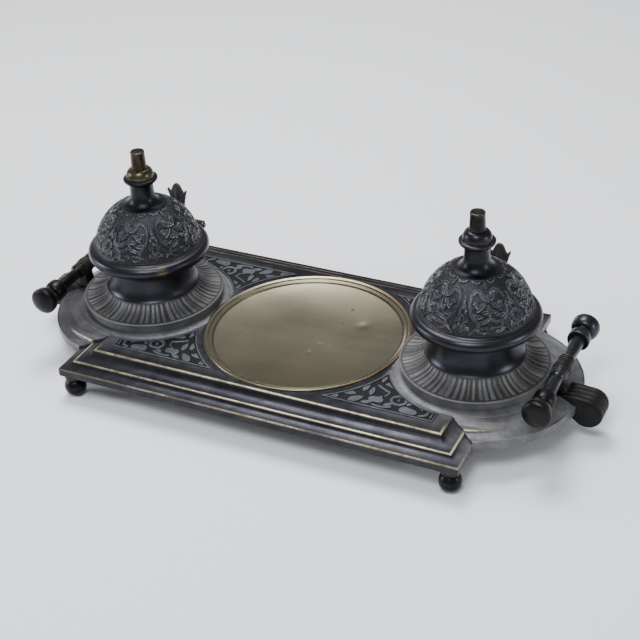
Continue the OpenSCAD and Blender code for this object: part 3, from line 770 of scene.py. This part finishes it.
def make_panels():
    x, y, height = panel_heights()
    rows, columns = x.shape
    ground, proud, root = PLATE_TOP + 0.03, 0.55, PLATE_TOP - 1.0
    top = ground + proud * height
    count = rows * columns
    faces = quads(rows, columns, False)
    rim = list(range(columns)) + [i * columns + columns - 1 for i in range(1, rows)]
    rim += [(rows - 1) * columns + k for k in range(columns - 2, -1, -1)]
    rim += [i * columns for i in range(rows - 2, 0, -1)]
    around = range(len(rim))
    faces += [(rim[k], rim[k - len(rim) + 1], count + (k + 1) % len(rim), count + k) for k in around]
    faces.append(tuple(count + k for k in around)[::-1])
    for hand, side in SIDES.items():
        for end_name, end in ENDS.items():
            verts = np.stack([side * x, end * y, top], -1).reshape(-1, 3)
            foot = verts[rim].copy()
            foot[:, 2] = root
            tone = np.concatenate([height.ravel(), np.zeros(len(rim))])
            panel = new_object(f"{hand}_{end_name}_strapwork", np.vstack([verts, foot]), faces,
                               PAINT["strapwork"], {"tone": tone, "wear": tone * 0, "plain": tone * 0})
            stand_for(panel, "stand", "dark_bronze")


def make_feet():
    for end_name, end in ENDS.items():
        for hand, side in SIDES.items():
            line = [(0, 0)] + arc(6.5, 6.2, -72, 52)
            line += [(4.9, 11.8), (5.3, 12.6), (5.8, 13.1), (5.8, 14.6)]
            line += [(5.4, PLATE_BOTTOM), (0, PLATE_BOTTOM)]
            foot = turned(f"ball_foot_{end_name}_{hand}", line, PAINT["dark"],
                          (side * FOOT_X, end * FOOT_Y, 0), 64)
            stand_for(foot, "stand", "dark_bronze", f"foot_{end_name}_{hand}")


def make_dish():
    thick, floor, bowl_r, rim = 1.2, DISH_LOW[2] + 1.4, 56.2, DISH_HIGH[2]
    bowl_top = rim - 2.4
    curve = [(bowl_r * i / 40, floor + (bowl_top - floor) * (i / 40) ** 3) for i in range(41)]
    line = [(r, z - thick) for r, z in curve]
    line += [(58.4, bowl_top - 1.0), (58.4, PLATE_TOP + 0.02), (DISH_R - 0.3, PLATE_TOP + 0.02)]
    line += bend((DISH_R, PLATE_TOP + 0.5), (DISH_R - 0.7, rim), False, 6)
    line += [(59.7, rim - 0.55), (59.4, rim - 1.2), (59.0, rim - 1.2), (58.8, rim - 0.95), (57.1, rim - 1.85),
             (56.8, rim - 2.6), (56.4, rim - 2.6)]
    line += curve[::-1]
    points, wear = softened(line, 0.25, 3)
    wear = [min(w, 0) if r > 56.3 else 0 for w, (r, _) in zip(wear, points)]
    steps = 288
    angle = np.arange(steps) * 2 * math.pi / steps
    r = np.array(points)[:, :1]
    x, y = r * np.cos(angle), r * np.sin(angle)
    browned = (r > 60.9) * smoothstep(-0.1, 0.9, (x + y) / 62)
    # Where each dent is, how wide and how deep.
    dents = [(25.6, 23, 3.4, 0.34), (6.6, -13.2, 1.5, 0.22), (9.2, -3.1, 1.8, 0.14), (-31, 9, 9, 0.15),
             (-12, -34, 10, 0.15), (42, 13, 2, 0.12)]
    drop = sum(deep * np.exp(-(np.hypot(x - dent_x, y - dent_y) / spread) ** 2)
               for dent_x, dent_y, spread, deep in dents) * (r < 55)
    dish = lathe("brass_dish", points, PAINT["dish"], steps, {"wear": wear, "tone": browned}, drop=drop)
    stand_for(dish, "stand", "dish_brass", "dish")


# ---- Wells, liners and lids ----

FLUTES = 66
# How strongly the foot's outer edge takes the flutes.
EDGE = 0.3


def flute_heights(steps, seed):
    """Height (0 to 1) of the cast foot's uneven flat ribs, round the well."""
    random = np.random.default_rng(seed)
    angle = np.arange(steps) / steps * FLUTES
    height = np.zeros(steps)
    for k in range(FLUTES):
        centre = k + random.uniform(-0.2, 0.2)
        away = np.abs((angle - centre + FLUTES / 2) % FLUTES - FLUTES / 2)
        half = random.uniform(0.22, 0.42)
        height = np.maximum(height, random.uniform(0.45, 1) * (1 - smoothstep(half - 0.1, half + 0.1, away)))
    return height


def well_profile(base):
    """Outside of a well, up from its seat: rows of (point, wear, how strongly it is fluted, plain)."""
    edge = [(0, base), (WELL_R - 0.9, base), (WELL_R - 0.8, base + 0.9), (WELL_R - 0.4, base + 4.4),
            (WELL_R, base + 5.0), (WELL_R, base + 5.7), (WELL_R - 0.5, base + 6.1)]
    points, wear = softened(edge, 0.3)
    rows = [(p, 0.15 * w, EDGE, 0.0) for p, w in zip(points, wear)]
    apron = bend((WELL_R - 0.7, base + 6.2), (27.9, base + 13.9), True, 30)[1:-5]
    for i, p in enumerate(apron):
        t = i / (len(apron) - 1)
        rows.append((p, 0.0, float(smoothstep(0, 0.06, t) * (1 - smoothstep(0.88, 1, t))), 0.0))
    start, turn, end = (apron[-1][0] - 0.4, apron[-1][1] + 0.3), (24.9, base + 15.4), (24.4, base + 25)
    waist = [tuple(arch(a, b, c, t) for a, b, c in zip(start, turn, end)) for t in np.linspace(0, 1, 24)]
    neck = [(24.5, base + 27), (25.1, base + 29), (26.4, base + 30.6), (28, base + 31), (29, base + 31),
            (29, base + 32.6)]
    return rows + [(p, 0.0, 0.0, 1.0) for p in waist + neck]


def make_wells():
    base, top, steps = WELL_LOW[2], WELL_HIGH[2], 720
    inner = [(26.1, top), (26.1, top - 1.5), (22.5, top - 1.5), (22.5, base + 3), (0, base + 3)]
    rows = well_profile(base) + [(p, 0.0, 0.0, 1.0) for p in inner]
    points, wear, strength, plain = (list(column) for column in zip(*rows))
    strength = np.array(strength)[:, None]
    cut = np.where(np.array([r for r, _ in points])[:, None] < WELL_R - 0.6, strength, 0)
    for number, (hand, side) in enumerate(SIDES.items()):
        height = flute_heights(steps, 11 + number)
        # The foot's outer edge takes the pale ridge colour, a painted highlight standing in for the light on
        # its wall.
        values = {"wear": wear, "plain": plain, "tone": np.where(strength == EDGE, 0.75, strength * height)}
        well = lathe(f"{hand}_well_casting", points, PAINT["fluted"], steps, values,
                     0.4 * cut * (height - 0.6))
        # The plate behind the flange that carries the hinge leaf.
        ear = stack("ear", [(rectangle(-13, 13, 26.5, 33.5), z, 0) for z in (top - 1.6, top - 0.02)],
                    PAINT["dark"])
        well = moved(joined(well.name, [well, ear]), side * WELL_X)
        stand_for(well, "stand", "grey_bronze", f"{hand}_well")


def make_liners():
    low, high = corners("right_liner")
    bottom, rim_top, rim_r, outer = low[2], high[2], 25.7, 21.8
    ledge, bore, floor = rim_top - 2.3, 19.3, bottom + 2.5
    line = [(0, bottom), (outer - 3, bottom)] + bend((outer - 3, bottom), (outer, bottom + 3), True, 5)[1:]
    line += [(outer, ledge), (rim_r, ledge), (rim_r, rim_top), (bore, rim_top)]
    line += bend((bore, floor + 4), (bore - 4, floor), False, 8) + [(0, floor)]
    points, _ = softened(line, 0.8, 5)
    inside = [1.0 if r < bore + 0.1 and z > floor - 0.1 else 0.0 for r, z in points]
    for hand, side in SIDES.items():
        liner = lathe(f"{hand}_ink_pot", points, PAINT["pot"], 128, {"inside": inside})
        stand_for(moved(liner, side * WELL_X), f"{hand}_liner", "glazed_pot", f"{hand}_liner")


DOME_R = 31.8
DOME_REPEATS = 6


def dome_strokes():
    """Half of one repeat of the engraving: x from its middle line, y up from the foot of the dome."""
    return [
        stem([(0.3, 19.5), (1.6, 28.0), (11.0, 27.5), (10.6, 16.0)], 0.95),
        stem([(10.6, 16.0), (10.2, 8.0), (5.0, 5.6), (0.4, 9.8)], 0.95),
        stem([(0.2, 4.6), (4.0, 5.6), (9.4, 4.6), (11.4, 1.2)], 0.7),
        stem([(16.4, 2.5), (12.6, 9.0), (12.6, 19.0), (14.2, 25.5)], 0.7),
        stem([(2.6, 30.6), (4.8, 28.8), (7.4, 29.0), (10.0, 30.8)], 0.5),
        spiral((14.0, 4.6), 2.3, 220, 1.1, 0.6, -1), spiral((6.8, 16.6), 2.0, 30, 1.0, 0.6, 1),
        leaf((1.4, 18.6), 68, 7.2, 1.5, -35), leaf((0.9, 18.4), -28, 8.2, 1.4, -30),
        leaf((4.6, 12.6), 160, 5.0, 1.1, 30), leaf((9.2, 11.6), 200, 6.0, 1.3, -35),
        leaf((0, 10.6), 90, 6.6, 1.4), leaf((12, 13), 66, 7, 1.2, -25), leaf((12.2, 7.4), 70, 5.4, 1.1, -20),
        leaf((0, 31.4), 270, 5.4, 1.3), leaf((13, 27.4), 62, 4, 1, 20), leaf((2, 2), 10, 6.8, 1, 10),
        leaf((8.8, 22.5), 130, 5.6, 1.2, 25), leaf((15.6, 9.5), 84, 6.4, 1, 8),
        leaf((7, 7.6), 250, 4, 0.9, 30),
    ]


def dome_heights(rows, columns, length, roll):
    """Height (0 to 1) of the engraving on the dome, row by row from its foot."""
    s = np.linspace(0, length, rows)[:, None]
    repeat = columns // DOME_REPEATS
    along = (np.arange(repeat) - (repeat - 1) / 2) / repeat
    width = 2 * math.pi * DOME_R / DOME_REPEATS
    squeeze = 1 - 0.30 * (s / length)
    x = along[None, :] * width * squeeze
    inside = depth_inside(np.abs(x), np.broadcast_to(s, x.shape), mirrored_strokes(dome_strokes()))
    edge_line = 1 - smoothstep(0.12, 0.42, np.abs(inside - 0.28))
    unit = np.maximum(edge_line, 0.45 * smoothstep(0, 0.5, inside))
    return np.roll(np.tile(unit, (1, DOME_REPEATS)), roll, axis=1)


def make_lids():
    bottom, top, steps, rows = LID_LOW[2], LID_HIGH[2], 600, 130
    foot_rise, top_rise = 4.2, 28.8
    dome_z = top - top_rise
    foot_angle, top_angle = (math.degrees(math.asin(rise / DOME_R)) for rise in (foot_rise, top_rise))
    length = DOME_R * math.radians(top_angle - foot_angle)
    inner = [(0, top - 4.4), (6.5, top - 4.4)]
    inner += arc(28.2, dome_z - 2.3, 0, 76.6)[::-1] + [(28.2, bottom)]
    rim = [(30.2, bottom), (RIM_R - 1.2, bottom + 0.35)]
    rim += [(33 + 3.7 * math.cos(t), bottom + 3 + 3.9 * math.sin(t)) for t in np.radians(range(-38, 89, 6))]
    rim += [(32.75, dome_z + 3.2), (32.3, dome_z + 3.65), (31.85, dome_z + 3.7)]
    before, before_wear = softened(inner + rim, 0.3)
    dome = arc(DOME_R, dome_z, foot_angle, top_angle, rows - 1)
    line = before + dome + [(13.0, top), (0, top)]
    wear = [0.75 * max(w, 0) for w in before_wear] + [0.0] * (rows + 2)
    plain = [1.0] * len(before) + [0.0] * rows + [1.0] * 2
    for number, (hand, side) in enumerate(SIDES.items()):
        heights = dome_heights(rows, steps, length, 18 + 40 * number)
        random = np.random.default_rng(5 + number)
        ground = random.uniform(0, 0.16, heights.shape) * (1 - heights)
        fade = smoothstep(0, 3, np.arange(rows))[:, None] * smoothstep(0, 3, np.arange(rows)[::-1])[:, None]
        lift = np.zeros((len(line), steps))
        tone = np.zeros((len(line), steps))
        start = len(before)
        lift[start:start + rows] = fade * (0.8 * heights + ground - 0.4)
        tone[start:start + rows] = heights
        lid = lathe(f"{hand}_engraved_lid", line, PAINT["dome"], steps,
                    {"wear": wear, "tone": tone, "plain": plain}, lift)
        moved(lid, side * WELL_X)
        if side < 0:
            # A rubbed spot on the rim's front, towards the middle of the stand.
            spot, spread = np.array([25.5 - WELL_X, -27, bottom + 4.5]), 4
            retouch(lid, "wear",
                    lambda p, old: old + 1.1 * np.exp(-(np.linalg.norm(p - spot, axis=1) / spread) ** 2))
        stand_for(lid, f"{hand}_lid", "dark_bronze", f"{hand}_lid")


def make_finials():
    neck_low, neck_high = (c[2] for c in corners("right_lid_neck"))
    knob_low, knob_high = (c[2] for c in corners("right_lid_knob"))
    peg_top = corners("right_lid_peg")[1][2]
    neck = [(0, neck_low), (13.4, neck_low), (13.3, neck_low + 0.4)]
    neck += bend((13.1, neck_low + 0.5), (7.1, neck_low + 7.6), True, 16)
    neck += [(7.0, neck_high - 1.0), (7.3, neck_high - 0.1), (7.3, neck_high), (0, neck_high)]
    knob = [(0, knob_low), (7.3, knob_low), (7.6, knob_low + 0.7)]
    knob += bend((7.8, knob_low + 0.9), (10.2, knob_low + 2.8), True, 8)
    knob += [(10.2, knob_low + 3.3), (9.7, knob_low + 3.7), (8.3, knob_low + 4.0)]
    knob += bend((8.2, knob_low + 4.4), (4.6, knob_high), False, 12) + [(0, knob_high)]
    rod_low = corners("right_lid_peg")[0][2]
    peg = [(0, rod_low), (2.4, rod_low), (2.4, knob_high - 0.5), (4.6, knob_high - 0.5),
           (4.6, knob_high + 0.3), (4.5, knob_high + 0.8),
           (4.2, peg_top - 1.6), (4.25, peg_top - 1.4), (4.25, peg_top - 0.4), (3.9, peg_top), (3.4, peg_top),
           (3.2, peg_top - 0.2), (0, peg_top - 0.25)]
    for hand, side in SIDES.items():
        place, body = (side * WELL_X, 0, 0), f"{hand}_lid"
        trumpet = turned(f"{hand}_trumpet_neck", neck, PAINT["neck"], place, rub=0)
        stand_for(trumpet, body, "dark_bronze", f"{hand}_lid_neck")
        paint = PAINT["knob_left" if side < 0 else "bar"]
        mushroom = turned(f"{hand}_mushroom_knob", knob, paint, place, rub=0.4)
        if side < 0:
            # The lip under the cap is black.
            retouch(mushroom, "tone", lambda p, old: 1 - smoothstep(4.0, 4.8, p[:, 2] - knob_low))
        stand_for(mushroom, body, "dark_bronze", f"{hand}_lid_knob")
        rod_end = turned(f"{hand}_peg", peg, PAINT[f"peg_{hand}"], place, 96, rub=0.5)
        stand_for(rod_end, body, "worn_brass", f"{hand}_lid_peg")


# ---- Flat pieces cut to an outline ----

def inset_outline(outline, amount):
    """Moves an anticlockwise outline inwards by amount."""
    line = np.array(outline, float)
    return line - outward_normals(line) * amount


def slab(name, outline, low, high, material, edge=0.35, upright=True):
    """An outline with a thickness and rounded edges, drawn in x and z if upright and else in x and y."""
    corner = [(edge * (1 - math.sin(t)), edge * (1 - math.cos(t))) for t in np.linspace(0, math.pi / 2, 4)]
    rows = [(inset, low + rise) for inset, rise in corner] + [(rise, high - inset) for inset, rise in corner]
    made = stack(name, [(inset_outline(outline, inset), z, 0.6) for inset, z in rows], material)
    if upright:
        made.data.transform(Matrix(((1, 0, 0, 0), (0, 0, 1, 0), (0, 1, 0, 0), (0, 0, 0, 1))))
        made.data.flip_normals()
    return made


def rectangle(x0, x1, y0, y1):
    return [(x0, y0), (x1, y0), (x1, y1), (x0, y1)]


def both_ways(points):
    """Completes an outline from its right half, which runs up from the bottom."""
    return points + [(-x, z) for x, z in points[::-1] if x > 0]


def bead(name, path, half, height, y, facing, material):
    """A raised rounded line on an upright face at y. facing is -1 if the face looks to the front."""
    p = np.array(path, float)
    along = np.gradient(p, axis=0)
    side = np.stack([-along[:, 1], along[:, 0]], 1)
    side /= np.linalg.norm(side, axis=1, keepdims=True)
    arc_steps = 6
    rows = []
    for i in range(arc_steps + 1):
        turn = math.pi * i / arc_steps
        spread = (p + side * (np.array(half) * math.cos(turn))[:, None])
        rise = np.array(height) * math.sin(turn)
        rows.append(np.stack([spread[:, 0], y + facing * rise, spread[:, 1]], 1))
    verts = np.concatenate(rows)
    count = len(p)
    faces = quads(arc_steps + 1, count, False)
    last = arc_steps * count
    faces += [(k, last + k, last + k + 1, k + 1) for k in range(count - 1)]
    faces += [tuple(i * count for i in range(arc_steps + 1)),
              tuple(i * count + count - 1 for i in range(arc_steps + 1))[::-1]]
    return new_object(name, verts, faces, material, {"wear": np.full(len(verts), 0.35)})


# ---- Hinges ----

HINGE_HALF = 15.5
MIDDLE_HALF = 5.2
KNUCKLE_R = 2.8
HINGE_Y = middle("right_hinge_pin")[1]
HINGE_Z = middle("right_hinge_pin")[2]
# Turns x, y and z into y, z and x.
ALONG_X = Matrix(((0, 0, 1, 0), (1, 0, 0, 0), (0, 1, 0, 0), (0, 0, 0, 1)))


def on_hinge(name, profile, material, radius=0.3):
    """A turned piece that lies along the hinge's axis."""
    piece = turned(name, profile, material, steps=48, radius=radius)
    piece.data.transform(ALONG_X)
    return moved(piece, 0, HINGE_Y, HINGE_Z)


def knuckle(x0, x1, material):
    return on_hinge("knuckle", rod(KNUCKLE_R, x0, x1), material)


def crest_veins():
    """Raised veins on one face of the thumb crest: (path, half widths) in x and z up from the hinge."""
    veins = [leaf((0, 13.5), 90, 12.5, 1.5)]
    for side in (-1, 1):
        veins += [leaf((side * 1.6, 11), 90 - side * 9, 10.5, 0.7, -side * 4),
                  leaf((side * 2.7, 8), 90 - side * 8, 12.0, 0.7, -side * 4),
                  leaf((side * 1.2, 5), 90 - side * 4, 8, 0.6, 0)]
    return veins


def make_crests():
    ear_x, ear_z, top = 6.7, 23.2, 27.3
    right = [(4.3, 2.5), (4.0, 10), (4.35, 13), (4.95, 16), (5.8, 19.4), (ear_x, ear_z - 0.9),
             (ear_x - 0.15, ear_z - 0.1), (ear_x - 0.8, ear_z - 0.15), (5.1, 21.9), (4.5, 21.3), (3.95, 22.3),
             (3.2, 24), (2.7, 25.2), (2.1, 26.15), (1.1, 27.05), (0, top)]
    paint = PAINT["crest"]
    for hand, side in SIDES.items():
        parts = [slab("crest", both_ways(right), 37, 38.8, paint, 0.4),
                 slab("tongue", rectangle(-4.3, 4.3, 2.3, 7), 34.6, 38.2, paint, 0.5)]
        for facing, y in ((-1, 37.1), (1, 38.7)):
            parts += [bead("vein", path, half, half * 0.55, y, facing, paint) for path, half in crest_veins()]
        crest = moved(joined(f"{hand}_thumb_crest", parts), 0, 0, HINGE_Z)
        crest = joined(crest.name, [crest, knuckle(-MIDDLE_HALF, MIDDLE_HALF, paint)])
        stand_for(moved(crest, side * WELL_X), f"{hand}_lid", "dark_bronze", f"{hand}_lid_crest")


def make_hinges():
    leaf_low, leaf_high, gap = HINGE_Z - 3.8, HINGE_Z - 2.0, 0.3
    inner, paint = MIDDLE_HALF + gap, PAINT["rough"]
    outline = [(-15, 27.4), (-9, 26.2), (9, 26.2), (15, 27.4), (15, HINGE_Y + 1), (inner, HINGE_Y + 1),
               (inner, HINGE_Y - 3.6), (-inner, HINGE_Y - 3.6), (-inner, HINGE_Y + 1), (-15, HINGE_Y + 1)]
    pin = [(0, -17.3), (1.1, -17.0), (1.9, -16.2), (2.2, -15.5), (1.2, -15.5), (1.2, 15.5), (2.2, 15.5),
           (1.9, 16.2), (1.1, 17.0), (0, 17.3)]
    for hand, side in SIDES.items():
        parts = [slab("leaf", outline, leaf_low, leaf_high, paint, 0.3, False)]
        for low, high in ((-HINGE_HALF, -inner), (inner, HINGE_HALF)):
            nearer, farther = (0.1, 0.6) if low > 0 else (0.6, 0.1)
            web = rectangle(low + nearer, high - farther, HINGE_Y - 1.4, HINGE_Y + 1.4)
            parts += [knuckle(low, high, paint),
                      slab("web", web, leaf_low + 0.2, HINGE_Z - 1, paint, 0.2, False)]
        plate = moved(joined(f"{hand}_hinge_plate", parts), side * WELL_X)
        stand_for(plate, "stand", "dark_bronze", f"{hand}_hinge_leaf")
        hinge_rod = moved(on_hinge(f"{hand}_hinge_rod", pin, PAINT["pin"], 0.2), side * WELL_X)
        stand_for(hinge_rod, "stand", "worn_brass", f"{hand}_hinge_pin")


# ---- Bars and their brackets ----

EYE_HALF = 3.4
SHAFT_END = 29.0
KNOB_LEN = 19.6


def bar_line():
    """Half of a turned bar, out from the eye: three rings and a swelling shaft."""
    line = [(0, EYE_HALF), (4.0, EYE_HALF)]
    for ring in range(3):
        start = EYE_HALF + 0.4 + 1.9 * ring
        collar = ((4.45, -0.1), (4.8, 0.15), (4.8, 0.8), (4.4, 1.1), (3.9, 1.35), (3.9, 1.6))
        line += [(r, start + out) for r, out in collar]
    line += [(3.3 + 0.7 * smoothstep(0, 0.8, i / 12), 10.5 + (SHAFT_END - 11.5) * i / 12) for i in range(13)]
    return line + [(4.0, SHAFT_END), (0, SHAFT_END)]


def knob_line():
    """A turned knob: a collar, a pinched waist and a mushroom end."""
    line = [(0, 0), (6.0, 0), (6.4, 0.5), (6.5, 1.6), (6.5, 2.8)]
    line += bend((6.5, 3), (4.2, 8.2), False, 12)[1:]
    line += [(4.3, 8.5), (4.8, 8.6), (4.8, 9.3), (4.5, 9.5)]
    line += bend((4.7, 9.6), (8.2, 16.0), True, 12)
    return line + [(8.2, 17.1), (7.5, 17.9), (5.2, 18.9), (2.6, 19.45), (0, KNOB_LEN)]


def make_bars():
    for hand, side in SIDES.items():
        for end_name, end in ENDS.items():
            paint = PAINT["shaft" if side > 0 else "dark"]
            middle_point = (side * BAR_X, 0, BAR_Z)
            bar = turned(f"{hand}_{end_name}_turned_bar", bar_line(), paint, middle_point, 96, 0.25, end,
                         rub=0.5)
            stand_for(bar, "stand", "dark_bronze", f"{hand}_bar_{end_name}")
            tip = (side * BAR_X, end * SHAFT_END, BAR_Z)
            knob_paint = PAINT["dark"] if end < 0 else paint
            knob = turned(f"{hand}_{end_name}_bar_knob", knob_line(), knob_paint, tip, 128, 0.3, end,
                          rub=0.35)
            stand_for(knob, "stand", "dark_bronze", f"{hand}_{end_name}_knob")


SCROLL_HALF = 7.5
SCROLL_R = 9.0
SCROLL_X = PLATE_HIGH[0] + 5.8
SCROLL_Z = PLATE_BOTTOM + 3
REEDS = 4


def scroll_outline():
    """Side view of the bracket: (points, how deep each one is reeded). x is out from the roll's axis."""
    top = [(-20.4, 22.5), (-20.1, 25.6), (-19.1, 26.6), (-16.5, 27.1), (-12.5, 27.5), (-9, 27.6),
           (-5.5, 27.45), (-3, 27.2)]
    roll = [(SCROLL_R * math.sin(math.radians(a)), SCROLL_Z + SCROLL_R * math.cos(math.radians(a)))
            for a in range(0, 196, 5)]
    web = [(-3.6, 9.7), (-5.2, 10.9), (-7.5, 13.2), (-10, 15.6), (-12, 18), (-20, 20.5)]
    points = top + roll + web
    deep = [0.0, 0.3, 1.0] + [1.0] * (len(top) - 3 + len(roll)) + [0.8, 0.5, 0.2, 0, 0, 0]
    return np.array(points[::-1], float), np.array(deep[::-1])


def reeded_scroll(name, side):
    points, deep = scroll_outline()
    normal = outward_normals(points)
    across = np.linspace(-SCROLL_HALF, SCROLL_HALF, 81)
    phase = (across / SCROLL_HALF + 1) / 2 * REEDS
    rise = np.abs(np.sin(math.pi * phase)) ** 0.6
    count = len(points)
    rows, wear = [], []
    for y, up in zip(across, rise):
        spot = points - normal * (0.75 * (1 - up) * deep)[:, None]
        rows.append(np.stack([side * (SCROLL_X + spot[:, 0]), np.full(count, y), spot[:, 1]], 1))
        worn = 0.3 * smoothstep(0.75, 1, up) - 0.9 * (1 - smoothstep(0, 0.35, up))
        wear.append(np.where(deep > 0.5, worn, 0))
    verts = np.concatenate(rows)
    last = len(across) - 1
    faces = quads(len(across), count)
    faces += [tuple(range(count)), tuple(last * count + k for k in range(count))[::-1]]
    return new_object(name, verts, faces, PAINT["rough"], {"wear": np.concatenate(wear)})


def rounded_box(half_x, half_y, radius, steps=5):
    """Outline of a rectangle with round corners, anticlockwise."""
    radius = min(radius, half_x * 0.95, half_y * 0.95)
    corners_at = [(1, 1, 0), (-1, 1, 90), (-1, -1, 180), (1, -1, 270)]
    return [(sx * (half_x - radius) + radius * math.cos(math.radians(start + 90 * i / steps)),
             sy * (half_y - radius) + radius * math.sin(math.radians(start + 90 * i / steps)))
            for sx, sy, start in corners_at for i in range(steps + 1)]


def make_brackets():
    for hand, side in SIDES.items():
        parts = [reeded_scroll("scroll", side)]
        widths = [(PLATE_TOP - 2, 4.6, 5.4), (PLATE_TOP + 0.9, 4.6, 5.4), (PLATE_TOP + 1.2, 4.2, 5.0),
                  (PLATE_TOP + 2.2, 3.5, 4.3), (PLATE_TOP + 5, 3.1, 3.9), (PLATE_TOP + 8, 3.2, 3.7),
                  (BAR_Z - 2, 3.4, 3.3)]
        rows = [(rounded_box(half_x, half_y, 1.2), z, 0) for z, half_x, half_y in widths]
        parts.append(moved(stack("post", rows, PAINT["rough"]), side * BAR_X))
        half_eye = [(5.25, 0.5), (5.0, 0.9), (5.0, EYE_HALF - 0.6), (4.4, EYE_HALF), (0, EYE_HALF)]
        eye = [(r, -y) for r, y in half_eye[::-1]] + half_eye
        parts.append(turned("eye", eye, PAINT["rough"], (side * BAR_X, 0, BAR_Z), 96, 0.2, 1))
        stand_for(joined(f"{hand}_scroll_bracket", parts), "stand", "dark_bronze", f"{hand}_scroll")


# ---- CAD nodes that are shown as they are ----

KEPT = {"foot_studs": "steel", "dish_stud": "pin", "dish_washer": "steel", "dish_nut": "steel"}
for hand in SIDES:
    KEPT |= {f"{hand}_{piece}": paint for piece, paint in (
        ("well_screws", "steel"), ("leaf_rivets", "dark"), ("crest_rivets", "pin"), ("lid_nut", "steel"),
        ("scroll_screw", "steel"))}


def paint_kept_nodes():
    for name, paint in KEPT.items():
        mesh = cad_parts[name].data
        mesh.materials.clear()
        mesh.materials.append(PAINT[paint])


for make in (make_camera, make_lights, make_floor, make_plate, make_panels, make_feet, make_dish, make_wells,
             make_liners, make_lids, make_finials, make_crests, make_hinges, make_bars, make_brackets,
             paint_kept_nodes):
    make()
